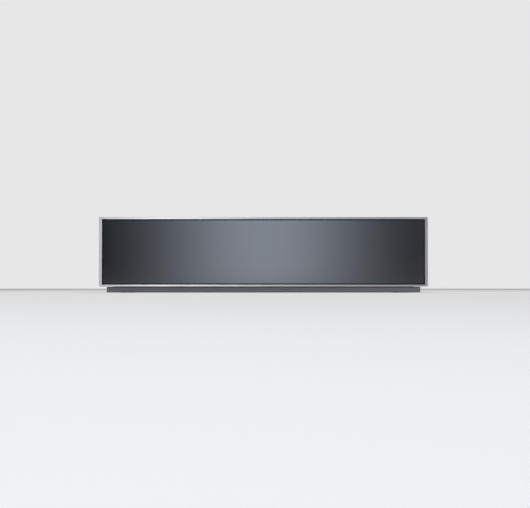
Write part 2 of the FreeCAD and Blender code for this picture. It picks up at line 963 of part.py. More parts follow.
def make_runners():
    """Both three-part runners."""
    for name, side in (("left", -1), ("right", 1)):
        outer = make_runner_member(f"runner_outer_{name}", side, 0, lip_reach, outer_half,
                                   d.runner_outer_length, runner_front)
        drill_runner(outer, side, 0, runner_front, d.runner_outer_length)
        make_runner_member(f"runner_middle_{name}", side, middle_web, lip_reach, middle_half,
                           d.runner_middle_length, runner_front + d.runner_setback)
        inner = make_runner_member(f"runner_inner_{name}", side, d.runner_space, inner_lip,
                                   inner_half, d.runner_inner_length, runner_front)
        drill_runner(inner, side, d.runner_space - d.runner_sheet, runner_front,
                     d.runner_inner_length)
        cage_web = d.runner_sheet + d.roller_clearance
        make_cage(f"outer_cage_{name}", side, cage_web, middle_half,
                  runner_front + d.outer_cage_start, middle_web + d.runner_sheet)
        inner_web = middle_web + d.runner_sheet + d.roller_clearance
        make_cage(f"inner_cage_{name}", side, inner_web, inner_half,
                  runner_front + d.inner_cage_start, inner_lip)


# Drawer body
def make_drawer_base():
    """Floor sheet with lips up its sides."""
    body = new_body("drawer_base")
    lip_top = drawer_z + d.drawer_lip
    inner = drawer_inside - d.drawer_sheet
    profile = polygon(
        (-drawer_inside, drawer_z), (drawer_inside, drawer_z), (drawer_inside, lip_top),
        (inner, lip_top), (inner, floor_z), (-inner, floor_z),
        (-inner, lip_top), (-drawer_inside, lip_top),
    )
    pad(body, "floor", "front", carrier_y, d.drawer_length - d.drawer_sheet, profile)
    left = pump_x - d.side_vent_length / 2
    inlet = rectangle(left, pump_rear, left + d.side_vent_length, pump_rear + d.side_vent_height)
    slots = pocket(body, "air_inlet", "top", drawer_z, d.drawer_sheet, inlet)
    repeat(body, slots, "Y_Axis", d.side_vent_pitch, d.side_vents)
    node(body, "drawer_base")


def make_drawer_side(name, side):
    """Side wall with a lip that carries the deck, screw holes and air slots."""
    body = new_body(name)
    outer = side * half_drawer
    inner = side * drawer_inside
    tip = side * (drawer_inside - d.drawer_lip)
    under = deck_under - d.drawer_sheet
    profile = polygon(
        (outer, drawer_z), (inner, drawer_z), (inner, under), (tip, under),
        (tip, deck_under), (outer, deck_under),
    )
    pad(body, "wall", "front", carrier_y, d.drawer_length - d.drawer_sheet, profile)
    start = -half_drawer if side < 0 else drawer_inside
    low = under - d.side_vent_height * 2 - d.side_vent_pitch * (d.side_vents - 1)
    y = drawer_rear - d.side_vent_setback
    slot = rectangle(y, low, y + d.side_vent_length, low + d.side_vent_height)
    slots = pocket(body, "air_slot", "side", start, d.drawer_sheet, slot)
    repeat(body, slots, "Z_Axis", d.side_vent_pitch, d.side_vents)
    node(body, name)


def make_drawer_rear():
    """Rear wall with the fan's grille and the gland's hole."""
    body = new_body("drawer_rear")
    back = drawer_rear - d.drawer_sheet
    wall = rectangle(-half_drawer, drawer_z, half_drawer, deck_under)
    pad(body, "wall", "front", back, d.drawer_sheet, wall)
    hole = circle(gland_x, d.gland_height, d.gland_radius)
    pocket(body, "gland_hole", "front", back, d.drawer_sheet, hole)
    count = int(float(d.grille_slots))
    half_slot = d.grille_slot_height / 2
    slots = []
    for i in range(count):
        share = 2 * (i + 1) / (count + 1) - 1
        middle = shaft_z + share * d.fan_duct_radius
        reach = math.sqrt(1 - share ** 2) * d.fan_duct_radius
        slots.append(rectangle(pump_x - reach, middle - half_slot, pump_x + reach,
                               middle + half_slot))
    pocket(body, "grille", "front", back, d.drawer_sheet, *slots)
    node(body, "drawer_rear")


def make_deck():
    """Deck sheet with the chamber's mouth, the window for the controls and the port."""
    body = new_body("deck_plate")
    sheet_outline = rectangle(-half_drawer, carrier_y, half_drawer, drawer_rear)
    pad(body, "sheet", "top", deck_under, d.drawer_sheet, sheet_outline)
    wall = d.chamber_wall + d.seat_gap
    mouth = rectangle(chamber_left - wall, chamber_front - wall, chamber_right + wall,
                      chamber_rear + wall)
    window = rectangle(
        control_left + d.control_border, control_front + d.control_border,
        control_right - d.control_border, control_rear - d.control_border,
    )
    half_hole = d.port_neck / 2 + d.seat_gap
    port_hole = rectangle(port_x - half_hole, port_y - half_hole, port_x + half_hole,
                          port_y + half_hole)
    pocket(body, "openings", "top", deck_under, d.drawer_sheet, mouth, window, port_hole)
    node(body, "deck_plate")


def make_front_frame():
    """Deep stainless frame with a narrow face round the glass."""
    body = new_body("front_frame")
    outer = rectangle(-half_front, front_z, half_front, front_top)
    pad(body, "blank", "front", front_y, d.front_depth, outer)
    window = rectangle(
        -half_front + d.frame_side_face, front_z + d.frame_bottom_face,
        half_front - d.frame_side_face, front_top - d.frame_top_face,
    )
    pocket(body, "window", "front", front_y, d.front_depth, window)
    inside = rectangle(
        -half_front + d.frame_sheet, front_z + d.frame_sheet,
        half_front - d.frame_sheet, front_top - d.frame_sheet,
    )
    depth = d.front_depth - d.frame_sheet
    pocket(body, "hollow", "front", front_y + d.frame_sheet, depth, inside)
    dress(
        body, "Chamfer", "corners", d.frame_edge_radius,
        lambda e: is_line_along(e, "y") and near(abs(e.CenterOfMass.x), half_front),
    )
    dress(
        body, "Chamfer", "face_edge", d.frame_edge_radius / 2,
        lambda e: lies_at(e, "y", front_y) and on_outer_rim(e),
    )
    node(body, "front_frame")


def on_outer_rim(edge):
    """Whether an edge of the front face belongs to its outer outline."""
    box = edge.BoundBox
    return (
        near(box.XMin, -half_front) or near(box.XMax, half_front)
        or near(box.ZMin, front_z) and near(box.ZMax, front_z)
        or near(box.ZMin, front_top) and near(box.ZMax, front_top)
    )


def window_inset(gap):
    """The frame's window drawn in by a gap."""
    return (
        -half_front + d.frame_side_face + gap, front_z + d.frame_bottom_face + gap,
        half_front - d.frame_side_face - gap, front_top - d.frame_top_face - gap,
    )


def make_front_glass():
    """Dark front glass with a bevelled edge, and the black joint round it."""
    body = new_body("front_glass")
    face = front_y + d.front_glass_setback
    outline = window_inset(d.glass_joint_gap)
    pad(body, "pane", "front", face, d.front_glass_thickness, rectangle(*outline))
    dress(body, "Chamfer", "bevel", d.glass_edge_bevel, lambda e: lies_at(e, "y", face))
    node(body, "front_glass")
    joint = new_body("glass_joint")
    start = face + d.glass_joint_setback
    length = d.front_glass_thickness - d.glass_joint_setback
    rim = rectangle(*window_inset(0))
    pad(joint, "ring", "front", start, length, rim, rectangle(*outline))
    node(joint, "glass_joint")


def make_front_carrier():
    """Steel channel that the glass is bonded to, which closes the back of the frame."""
    body = new_body("front_carrier")
    left = -half_front + d.frame_sheet + d.carrier_gap
    low = front_z + d.frame_sheet
    high = front_top - d.frame_sheet
    front = front_y + d.front_glass_setback + d.front_glass_thickness
    plate = d.frame_sheet
    lip = d.carrier_lip
    profile = polygon(
        (front, low), (carrier_y, low), (carrier_y, high), (front, high),
        (front, high - lip), (front + plate, high - lip),
        (front + plate, high - plate), (carrier_y - plate, high - plate),
        (carrier_y - plate, low + plate), (front + plate, low + plate),
        (front + plate, low + lip), (front, low + lip),
    )
    pad(body, "channel", "side", left, -2 * left, profile)
    node(body, "front_carrier")


# Chamber, lid and sealing bar
def make_tub():
    """Deep-drawn chamber with a flat rim and the air outlet in its rear wall."""
    body = new_body("chamber_cup")
    wall = d.chamber_wall
    rim = rounded(
        chamber_left - d.chamber_flange, chamber_front - d.chamber_flange,
        chamber_right + d.chamber_flange, chamber_rear + d.chamber_flange,
        d.rim_corner,
    )
    outside = rounded(
        chamber_left - wall, chamber_front - wall, chamber_right + wall,
        chamber_rear + wall, d.chamber_corner + wall,
    )
    inside = rounded(chamber_left, chamber_front, chamber_right, chamber_rear, d.chamber_corner)
    under = chamber_floor - wall
    pad(body, "drawn_cup", "top", under, rim_z - under, outside)
    slope = d.chamber_floor_radius + (2 - math.sqrt(2)) * wall
    dress(body, "Chamfer", "outer_floor_edge", slope, lambda e: lies_at(e, "z", under))
    pad(body, "rim", "top", d.deck_height, wall, rim)
    cavity = new_body("chamber_cavity")
    pad(cavity, "hollow_form", "top", chamber_floor, d.chamber_depth, inside)
    dress(
        cavity, "Chamfer", "inner_floor_edge", d.chamber_floor_radius,
        lambda e: lies_at(e, "z", chamber_floor),
    )
    half_wide = d.outlet_width / 2
    half_high = d.outlet_height / 2
    hole = block(
        "air_outlet", (outlet_x - half_wide, chamber_rear - wall, outlet_z - half_high),
        (outlet_x + half_wide, chamber_rear + 2 * wall, outlet_z + half_high),
    )
    node(cut("chamber_tub", body, cavity, hole), "chamber_tub")


def make_insert():
    """Loose plate on the chamber floor with two finger slots."""
    body = new_body("chamber_insert")
    edge = d.chamber_floor_radius + d.insert_edge_gap
    front = bar_middle + d.lift_body / 2 + d.insert_gap
    left = chamber_left + edge
    right = chamber_right - edge
    rear = chamber_rear - edge
    corner = d.chamber_corner - d.chamber_floor_radius
    outline = polygon(
        (left + corner, front), (right - corner, front), (right, front + corner),
        (right, rear - corner), (right - corner, rear), (left + corner, rear),
        (left, rear - corner), (left, front + corner),
    )
    pad(body, "plate", "top", chamber_floor, d.insert_thickness, outline)
    middle = (front + rear) / 2
    half_wide = d.insert_slot_width / 2
    half_long = d.insert_slot_length / 2
    slots = [
        rectangle(x - half_wide, middle - half_long, x + half_wide, middle + half_long)
        for x in (chamber_left + d.insert_slot_inset, chamber_right - d.insert_slot_inset)
    ]
    pocket(body, "finger_slots", "top", chamber_floor, d.insert_thickness, *slots)
    node(body, "chamber_insert")


def make_sealing_bar():
    """Bar with a heating band on top, its two rods and the cylinders that lift it."""
    bar = new_body("sealing_bar")
    bevel = d.bar_shoulder
    profile = polygon(
        (bar_front, bar_z), (bar_rear, bar_z), (bar_rear, bar_body_top - bevel),
        (bar_rear - bevel, bar_body_top), (bar_front + bevel, bar_body_top),
        (bar_front, bar_body_top - bevel),
    )
    pad(bar, "beam", "side", bar_left, bar_length, profile)
    rod_low = chamber_floor + d.lift_rod_clearance
    rods = [circle(x, bar_middle, d.lift_rod_radius) for x in lift_places]
    pad(bar, "rods", "top", rod_low, bar_z - rod_low + bevel, *rods)
    node(bar, "sealing_bar")
    half_band = d.band_width / 2
    end = bar_left + d.band_width
    band = block(
        "heating_band", (end, bar_middle - half_band, bar_body_top),
        (end + bar_length - 2 * d.band_width, bar_middle + half_band, bar_top),
    )
    node(band, "heating_band")
    cylinders = []
    for i, x in enumerate(lift_places):
        half = d.lift_body / 2
        shell = block(f"lift_shell_{i}", (x - half, bar_middle - half, chamber_floor),
                      (x + half, bar_middle + half, chamber_floor + d.lift_height))
        start = (x, bar_middle, chamber_floor + d.insert_gap)
        bore = rod(f"lift_bore_{i}", "z", start, d.lift_rod_radius + d.lift_fit, d.lift_height)
        cylinders.append(cut(f"lift_cylinder_{i}", shell, bore))
    node(group("lift_cylinders", *cylinders), "lift_cylinders")


def make_lid():
    """Thick glass lid, its ring seal and the silicone bar that backs the weld."""
    edge = d.chamber_flange - d.lid_inset
    body = new_body("lid_glass")
    outline = rounded(
        chamber_left - edge, chamber_front - edge, chamber_right + edge,
        lid_rear, d.lid_corner,
    )
    pad(body, "pane", "top", lid_z, d.lid_thickness, outline)
    dress(
        body, "Chamfer", "bevel", d.lid_bevel,
        lambda e: lies_at(e, "z", lid_z + d.lid_thickness),
    )
    node(body, "lid_glass")
    seal = new_body("lid_seal")
    near_edge = d.lid_seal_inset
    far_edge = near_edge + d.lid_seal_width
    rings = [
        rounded(
            chamber_left - gap, chamber_front - gap, chamber_right + gap,
            chamber_rear + gap, d.chamber_corner + gap,
        )
        for gap in (far_edge, near_edge)
    ]
    pad(seal, "ring", "top", lid_z - d.lid_seal_height, d.lid_seal_height, *rings)
    node(seal, "lid_seal")
    front = bar_middle - d.counter_bar_width / 2
    rear = bar_middle + d.counter_bar_width / 2
    bevel = d.counter_bar_bevel
    counter = new_body("counter_bar")
    profile = polygon(
        (front, lid_z), (front, counter_z + bevel), (front + bevel, counter_z),
        (rear - bevel, counter_z), (rear, counter_z + bevel), (rear, lid_z),
    )
    pad(counter, "bar", "side", bar_left, bar_length, profile)
    node(counter, "counter_bar")


def make_hinges():
    """Two forked brackets on the deck, the arms on the lid and the pins between."""
    brackets = []
    arms = []
    pins = []
    half = d.hinge_width / 2
    for i, x in enumerate(hinge_places):
        bracket = new_body(f"bracket_{i}")
        foot = rectangle(x - half, hinge_y - d.hinge_knuckle, x + half,
                         hinge_y + 2 * d.hinge_knuckle)
        pad(bracket, "foot", "top", d.deck_height, d.hinge_foot, foot)
        ear = polygon(
            (hinge_y - d.hinge_knuckle, d.deck_height), (hinge_y + 2 * d.hinge_knuckle,
                                                         d.deck_height),
            (hinge_y + d.hinge_knuckle, hinge_z), (hinge_y + d.hinge_knuckle / 2,
                                                   hinge_z + d.hinge_knuckle),
            (hinge_y - d.hinge_knuckle / 2, hinge_z + d.hinge_knuckle),
            (hinge_y - d.hinge_knuckle, hinge_z),
        )
        pad(bracket, "ear_left", "side", x - half, d.hinge_ear, ear)
        pad(bracket, "ear_right", "side", x + half - d.hinge_ear, d.hinge_ear, ear)
        brackets.append(bracket)

        arm = new_body(f"arm_{i}")
        inner = half - d.hinge_ear - d.hinge_side_gap
        knuckle = hexagon(hinge_y, hinge_z, d.hinge_knuckle)
        pad(arm, "knuckle", "side", x - inner, 2 * inner, knuckle)
        tip = lid_rear - d.hinge_arm_reach
        top = lid_z + d.lid_thickness
        plate = d.hinge_arm_plate
        strap = polygon(
            (tip, top), (lid_rear, top), (lid_rear, lid_z), (tip + plate, lid_z),
            (tip + plate, lid_z - plate), (lid_rear + plate, lid_z - plate),
            (hinge_y, hinge_z - plate), (hinge_y, top), (hinge_y - plate, top + plate),
            (tip, top + plate),
        )
        pad(arm, "strap", "side", x - inner, 2 * inner, strap)
        bore = circle(hinge_y, hinge_z, d.hinge_pin_radius + d.hinge_fit)
        pocket(arm, "pin_bore", "side", x - inner, 2 * inner, bore)
        arms.append(arm)

        between = half - d.hinge_ear
        start = (x - between, hinge_y, hinge_z)
        pins.append(rod(f"pin_{i}", "x", start, d.hinge_pin_radius, 2 * between))
    node(group("hinge_brackets", *brackets), "hinge_brackets")
    node(group("hinge_arms", *arms), "hinge_arms")
    node(group("hinge_pins", *pins), "hinge_pins")


# Controls on the deck
def make_controls():
    """Touch glass beside the chamber and the board bonded under it."""
    glass = new_body("control_glass")
    outline = rounded(control_left, control_front, control_right, control_rear,
                      d.control_corner)
    pad(glass, "pane", "top", d.deck_height, d.control_glass_thickness, outline)
    top = d.deck_height + d.control_glass_thickness
    dress(glass, "Chamfer", "bevel", d.glass_edge_bevel, lambda e: lies_at(e, "z", top))
    node(glass, "control_glass")
    board = new_body("control_board")
    border = d.control_border + 2 * d.seat_gap
    low = d.deck_height - d.control_board_thickness
    panel = rectangle(control_left + border, control_front + border,
                      control_right - border, control_rear - border)
    pad(board, "panel", "top", low, d.control_board_thickness, panel)
    left = (control_left + control_right - d.chip_width) / 2
    front = control_front + border + d.chip_width
    chip = rectangle(left, front, left + d.chip_width, front + d.chip_width)
    chips = pad(board, "chip", "top", low - d.chip_height, d.chip_height, chip)
    repeat(board, chips, "Y_Axis", d.chip_pitch, d.chips)
    node(board, "control_board")


# Pump, motor and fan
def make_pump():
    """Finned pump block on a base plate that the motor shares, on four rubber mounts."""
    plate_half = d.pump_width / 2 + d.pump_fin
    plate_rear = pump_rear + d.motor_length - d.motor_fin
    plate = block("pump_plate", (pump_x - plate_half, pump_front, pump_z),
                  (pump_x + plate_half, plate_rear, pump_z + d.pump_plate))
    top = pump_z + d.pump_plate + d.pump_height
    core = block("pump_core", (pump_side, pump_front + d.pump_fin, pump_z),
                 (2 * pump_x - pump_side, pump_rear, top - d.pump_fin))
    fins = []
    count = int(float(d.pump_fins))
    first = pump_front + d.pump_fin
    pitch = (pump_rear - d.pump_fin_thickness - first) / (count - 1)
    for i in range(count):
        y = first + pitch * i
        fins.append(block(
            f"pump_fin_{i}", (pump_x - d.pump_width / 2, y, pump_z + d.pump_plate),
            (pump_x + d.pump_width / 2, y + d.pump_fin_thickness, top),
        ))
    half_elbow = d.pump_elbow / 2
    elbow = block("pump_elbow", (elbow_x - half_elbow, inlet_y - half_elbow,
                                 outlet_z - half_elbow),
                  (pump_side + d.pump_fin, inlet_y + half_elbow, outlet_z + half_elbow))
    cover = new_body("pump_cover")
    pad(cover, "cover", "front", pump_front, d.pump_cover_depth,
        hexagon(pump_x, shaft_z, d.pump_cover_radius))
    node(fuse("vacuum_pump", plate, core, elbow, cover, *fins), "vacuum_pump")

    body = new_body("pump_motor")
    pad(body, "case", "front", pump_rear, d.motor_length,
        circle(pump_x, shaft_z, d.motor_radius - d.motor_fin))
    start = pump_rear + d.motor_cap
    length = d.motor_length - 2 * d.motor_cap
    half_fin = d.motor_fin_thickness / 2
    fin = rectangle(pump_x - half_fin, shaft_z, pump_x + half_fin, shaft_z + d.motor_radius)
    single = pad(body, "fin", "front", start, length, fin)
    axis_sketch = sketch_on(body, "axis", "front", pump_rear, [])
    bind(axis_sketch, "AttachmentOffset.Base.x", pump_x)
    bind(axis_sketch, "AttachmentOffset.Base.y", shaft_z)
    ring = body.newObject("PartDesign::PolarPattern", "fins")
    ring.Originals = [single]
    ring.Axis = (axis_sketch, ["N_Axis"])
    ring.Angle = 360
    bind(ring, "Occurrences", d.motor_fins)
    body.Tip = ring
    node(body, "pump_motor")

    mounts = []
    half = d.pump_mount_width / 2
    for i, (sx, y) in enumerate((
        (-1, pump_front + half), (1, pump_front + half),
        (1, plate_rear - half), (-1, plate_rear - half),
    )):
        x = pump_x + sx * (plate_half - half)
        mounts.append(block(f"mount_{i}", (x - half, y - half, floor_z),
                            (x + half, y + half, pump_z)))
    node(group("pump_mounts", *mounts), "pump_mounts")


def fan_blade(angle):
    """One flat blade, set at a slant, from inside the hub to its tip."""
    half = float(d.fan_blade_depth) / 2
    thick = float(d.fan_blade_thickness) / 2
    root = float(d.fan_hub_radius - 2 * d.fan_blade_thickness)
    tip = float(d.fan_duct_radius - d.fan_tip_gap)
    across = half * math.tan(math.radians(float(d.fan_blade_turn)))
    corners = [
        Vector(-across - thick, -half, root), Vector(-across + thick, -half, root),
        Vector(across + thick, half, root), Vector(across - thick, half, root),
    ]
    reach = math.sqrt(tip ** 2 - (across + thick) ** 2)
    outline = Part.Face(Part.makePolygon(corners + corners[:1]))
    blade = outline.extrude(Vector(0, 0, reach - root))
    blade.rotate(Vector(), Vector(0, 1, 0), angle)
    return blade


def make_fan():
    """Square fan frame with a round duct, and the bladed rotor on its shaft."""
    body = new_body("fan_frame")
    half = d.fan_size / 2
    frame = rectangle(pump_x - half, shaft_z - half, pump_x + half, shaft_z + half)
    pad(body, "frame", "front", fan_y, d.fan_depth, frame)
    duct = circle(pump_x, shaft_z, d.fan_duct_radius)
    strut_y = fan_y + d.fan_depth - d.fan_strut
    pocket(body, "duct", "front", fan_y, d.fan_depth, duct)
    hub = d.fan_hub_radius
    plate = rectangle(pump_x - hub, shaft_z - hub, pump_x + hub, shaft_z + hub)
    pad(body, "motor_plate", "front", strut_y, d.fan_strut, plate)
    reach = d.fan_duct_radius + d.fan_tip_gap
    half_strut = d.fan_strut / 2
    across = rectangle(pump_x - reach, shaft_z - half_strut, pump_x + reach,
                       shaft_z + half_strut)
    upright = rectangle(pump_x - half_strut, shaft_z - reach, pump_x + half_strut,
                        shaft_z + reach)
    pad(body, "strut_across", "front", strut_y, d.fan_strut, across)
    pad(body, "strut_upright", "front", strut_y, d.fan_strut, upright)
    bearing = circle(pump_x, shaft_z, d.fan_shaft_radius + d.fan_shaft_fit)
    pocket(body, "bearing", "front", strut_y, d.fan_strut, bearing)
    node(body, "fan_frame")

    hub_y = strut_y - d.fan_hub_gap - d.fan_hub_depth
    hub = Part.makeCylinder(float(d.fan_hub_radius), float(d.fan_hub_depth),
                            Vector(0, -float(d.fan_hub_depth) / 2, 0), Vector(0, 1, 0))
    shaft = Part.makeCylinder(float(d.fan_shaft_radius), float(strut_y - hub_y),
                              Vector(), Vector(0, 1, 0))
    count = int(float(d.fan_blades))
    blades = [fan_blade(i * 360 / count) for i in range(count)]
    rotor = hub.fuse([shaft] + blades).removeSplitter()
    place = point(pump_x, hub_y + d.fan_hub_depth / 2, shaft_z)
    node(feature("fan_rotor", rotor, place), "fan_rotor")


# Air path
def make_valves():
    """Valve block with three coils, the chamber's outlet and a pressure sensor."""
    body = block("valve_body", (valve_left, valve_y, floor_z),
                 (valve_right, valve_y + d.valve_length, valve_top))
    half = d.fitting_width / 2
    collars = [
        block(f"collar_{name}", (x - half, valve_y - d.fitting_length, outlet_z - half),
              (x + half, valve_y + half, outlet_z + half))
        for name, x in (("chamber", outlet_x), ("pump", elbow_x))
    ]
    collars.append(block(
        "collar_outside", (port_x - half, port_y - half, valve_top - half),
        (port_x + half, port_y + half, valve_top + d.fitting_length),
    ))
    node(fuse("valve_block", body, *collars), "valve_block")
    coils = []
    half = d.coil_width / 2
    nut = d.coil_nut_width / 2
    for i in range(int(float(d.coils))):
        x = valve_left + coil_pitch * (i + 1 / 2)
        y = valve_y + d.coil_setback
        top = valve_top + d.coil_height
        coil = block(f"coil_{i}", (x - half, y - half, valve_top), (x + half, y + half, top))
        stem = block(f"coil_nut_{i}", (x - nut, y - nut, top), (x + nut, y + nut, top + nut))
        coils.append(fuse(f"coil_set_{i}", coil, stem))
    node(group("solenoid_coils", *coils), "solenoid_coils")
    sensor_x = valve_left + d.sensor_width
    sensor_y = valve_y + d.valve_length - 2 * d.sensor_width
    sensor = block("sensor_body", (sensor_x, sensor_y, valve_top),
                   (sensor_x + d.sensor_width, sensor_y + d.sensor_width,
                    valve_top + d.sensor_height))
    node(sensor, "pressure_sensor")

    outlet = new_body("chamber_outlet")
    wall_y = chamber_rear + d.chamber_wall
    pad(outlet, "flange", "front", wall_y, d.outlet_flange_depth,
        hexagon(outlet_x, outlet_z, d.outlet_flange))
    half = d.fitting_width / 2
    collar = rectangle(outlet_x - half, outlet_z - half, outlet_x + half, outlet_z + half)
    pad(outlet, "collar", "front", wall_y, outlet_end - wall_y, collar)
    half_wide = d.outlet_width / 2 - d.outlet_fit
    half_high = d.outlet_height / 2 - d.outlet_fit
    nose = rectangle(outlet_x - half_wide, outlet_z - half_high, outlet_x + half_wide,
                     outlet_z + half_high)
    pad(outlet, "nose", "front", chamber_rear, d.chamber_wall, nose)
    node(outlet, "chamber_outlet")


def make_hoses():
    """Hoses between push-in fittings, from the valves to the chamber, pump and port."""
    radius = d.hose_radius
    end = valve_y - d.fitting_length
    node(rod("chamber_tube", "y", (outlet_x, outlet_end, outlet_z), radius,
             end - outlet_end), "chamber_hose")
    start = inlet_y + d.pump_elbow / 2
    node(rod("pump_tube", "y", (elbow_x, start, outlet_z), radius, end - start),
         "pump_hose")
    start = valve_top + d.fitting_length
    node(rod("port_tube", "z", (port_x, port_y, start), radius, port_under - start),
         "port_hose")


def make_port():
    """Outside vacuum port in the deck, with a hinged cover."""
    x = port_x
    half_neck = d.port_neck / 2
    body = new_body("port_body")
    pad(body, "neck", "top", port_under, port_top - port_under,
        rectangle(x - half_neck, port_y - half_neck, x + half_neck, port_y + half_neck))
    pad(body, "flange", "top", d.deck_height, d.port_height,
        hexagon(x, port_y, d.port_radius))
    half_ear = d.port_ear_width / 2
    ear_front = port_hinge_y - ear_half
    ear = block("port_ear", (x - half_ear, port_y, d.deck_height),
                (x + half_ear, port_hinge_y + ear_half, port_top))
    knuckle_block = block("port_knuckle", (x - half_ear, ear_front, port_top),
                          (x + half_ear, port_hinge_y + ear_half, port_hinge_z + ear_half))
    bore = rod("port_bore_hole", "z", (x, port_y, port_top - d.port_bore_length),
               d.port_bore, d.port_bore_length)
    half_slot = d.port_slot_width / 2
    slot = block("port_ear_slot", (x - half_slot, ear_front, port_top),
                 (x + half_slot, port_hinge_y + 2 * ear_half, port_hinge_z + 2 * ear_half))
    pin_hole = rod("port_pin_hole", "x", (x - half_ear, port_hinge_y, port_hinge_z),
                   d.port_pin_radius + d.port_pin_fit, d.port_ear_width)
    housing = fuse("port_housing", body, ear, knuckle_block)
    node(cut("vacuum_port", housing, bore, slot, pin_hole), "vacuum_port")

    cover_z = port_top + d.seat_gap
    cover_body = new_body("cover_plate")
    pad(cover_body, "plate", "top", cover_z, d.port_cover_thickness,
        hexagon(x, port_y, cover_radius))
    half_tongue = half_slot - d.seat_gap
    tongue = block("cover_tongue", (x - half_tongue, port_y, cover_z),
                   (x + half_tongue, port_hinge_y, cover_z + d.port_cover_thickness))
    half_knuckle = d.port_knuckle / 2
    knuckle = block("cover_knuckle", (x - half_tongue, port_hinge_y - half_knuckle,
                                      port_hinge_z - half_knuckle),
                    (x + half_tongue, port_hinge_y + half_knuckle,
                     port_hinge_z + half_knuckle))
    pin = rod("cover_pin", "x", (x - half_ear, port_hinge_y, port_hinge_z),
              d.port_pin_radius, d.port_ear_width)
    node(fuse("port_cover", cover_body, tongue, knuckle, pin), "port_cover")


# Electrics
# Parts on the main board. As shares of the board: from its left edge, from its front edge,
# width and length. Then the height.
BOARD_PARTS = {
    "mains_filter": (0.09, 0.12, 0.29, 0.23, 22),
    "choke": (0.09, 0.45, 0.2, 0.42, 30),
    "relay": (0.46, 0.12, 0.13, 0.29, 16),
    "fuse_holder": (0.69, 0.12, 0.23, 0.33, 18),
    "heat_sink": (0.43, 0.64, 0.48, 0.12, 26),
}


def make_main_board():
    """Main board on posts, with its larger parts."""
    top = floor_z + d.board_post
    deck = top + d.board_thickness
    board = block("board_panel", (board_left, board_front, top),
                  (board_left + board_width, board_front + d.board_length, deck))
    pieces = [board]
    post = d.board_post_width
    for i, (along_x, along_y) in enumerate(((0, 0), (1, 0), (1, 1), (0, 1))):
        x = board_left + along_x * (board_width - post)
        y = board_front + along_y * (d.board_length - post)
        pieces.append(block(f"board_post_{i}", (x, y, floor_z), (x + post, y + post, top)))
    for name, (from_left, from_front, width, length, height) in BOARD_PARTS.items():
        x = board_left + from_left * board_width
        y = board_front + from_front * d.board_length
        high = (x + width * board_width, y + length * d.board_length, deck + height)
        pieces.append(block(name, (x, y, deck), high))
    node(fuse("main_board", *pieces), "main_board")


def make_transformer():
    """Laminated core with its winding through the middle."""
    left = transformer_left
    front = board_front + d.drawer_lip
    rear = front + d.transformer_length
    middle = left + d.transformer_width / 2
    high = floor_z + d.transformer_height
    overhang = d.transformer_overhang
    core = block("core", (left, front + overhang, floor_z),
                 (left + d.transformer_width, rear - overhang, high))
    half_coil = d.transformer_coil_width / 2
    coil = block("winding", (middle - half_coil, front, floor_z + overhang),
                 (middle + half_coil, rear, high - overhang))
    node(fuse("transformer", core, coil), "transformer")


def make_gland():
    """Gland for the mains lead, with hexagonal nuts on both sides of the rear wall."""
    gland = new_body("cord_gland")
    back = drawer_rear
    nut = back - d.drawer_sheet - d.gland_nut
    z = d.gland_height
    pad(gland, "barrel", "front", nut, d.gland_length,
        hexagon(gland_x, z, d.gland_radius - d.gland_fit))
    nut_outline = hexagon(gland_x, z, d.gland_flange)
    pad(gland, "outer_nut", "front", back, d.gland_nut, nut_outline)
    pad(gland, "inner_nut", "front", nut, d.gland_nut, nut_outline)
    pocket(gland, "lead_bore", "front", nut, d.gland_length,
           circle(gland_x, z, d.gland_bore))
    node(gland, "cord_gland")


def make_all():
    """Every sub-part, from the cabinet inwards."""
    make_housing_base()
    make_housing_side("housing_side_left", -1)
    make_housing_side("housing_side_right", 1)
    make_housing_rear()
    make_rear_brace()
    make_front_rail()
    make_trim_strip()
    make_base_pads()
    make_front_buffers()
    make_push_latch()
    make_runners()
    make_drawer_base()
    make_drawer_side("drawer_side_left", -1)
    make_drawer_side("drawer_side_right", 1)
    make_drawer_rear()
    make_deck()
    make_front_frame()
    make_front_glass()
    make_front_carrier()
    make_tub()
    make_insert()
    make_sealing_bar()
    make_lid()
    make_hinges()
    make_controls()
    make_pump()
    make_fan()
    make_valves()
    make_hoses()
    make_port()
    make_main_board()
    make_transformer()
    make_gland()


def check_and_write():
    """Stop on a failed object, then write each sub-part to its own file."""
    doc.recompute()
    for obj in doc.Objects:
        if "Invalid" in obj.State or "Error" in obj.State:
            raise RuntimeError(f"{obj.Name} ({obj.Label}) failed: {obj.State}")
    os.makedirs("parts", exist_ok=True)
    for obj in NODES:
        shape = obj.Shape
        if shape.isNull() or not shape.isValid() or shape.Volume <= 0:
            raise RuntimeError(f"{obj.Label} has no valid shape")
        shape.exportStep(f"parts/{obj.Label}.step")
    print(len(NODES), "sub-parts written")


make_all()
check_and_write()
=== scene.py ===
"""Looks of a vacuum sealing drawer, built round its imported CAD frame.

Lengths in the classes are in millimetres. Form turns them into metres when it places a piece.
"""

import logging
import math
from dataclasses import dataclass
from enum import Enum

import bmesh
import bpy
from mathutils import Matrix, Vector


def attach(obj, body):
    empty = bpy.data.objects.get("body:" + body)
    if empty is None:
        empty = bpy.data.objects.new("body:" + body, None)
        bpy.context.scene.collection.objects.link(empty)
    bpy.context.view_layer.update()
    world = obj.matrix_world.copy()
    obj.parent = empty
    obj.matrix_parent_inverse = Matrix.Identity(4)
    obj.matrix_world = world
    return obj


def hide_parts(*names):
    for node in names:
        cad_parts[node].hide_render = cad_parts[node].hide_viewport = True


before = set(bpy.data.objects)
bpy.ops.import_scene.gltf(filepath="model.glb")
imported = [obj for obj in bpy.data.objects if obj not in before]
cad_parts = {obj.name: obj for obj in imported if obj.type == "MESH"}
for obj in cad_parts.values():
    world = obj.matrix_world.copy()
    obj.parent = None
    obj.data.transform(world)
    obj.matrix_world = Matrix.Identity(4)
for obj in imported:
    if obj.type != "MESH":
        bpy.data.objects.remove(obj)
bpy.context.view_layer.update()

LOG = logging.getLogger("drawer")

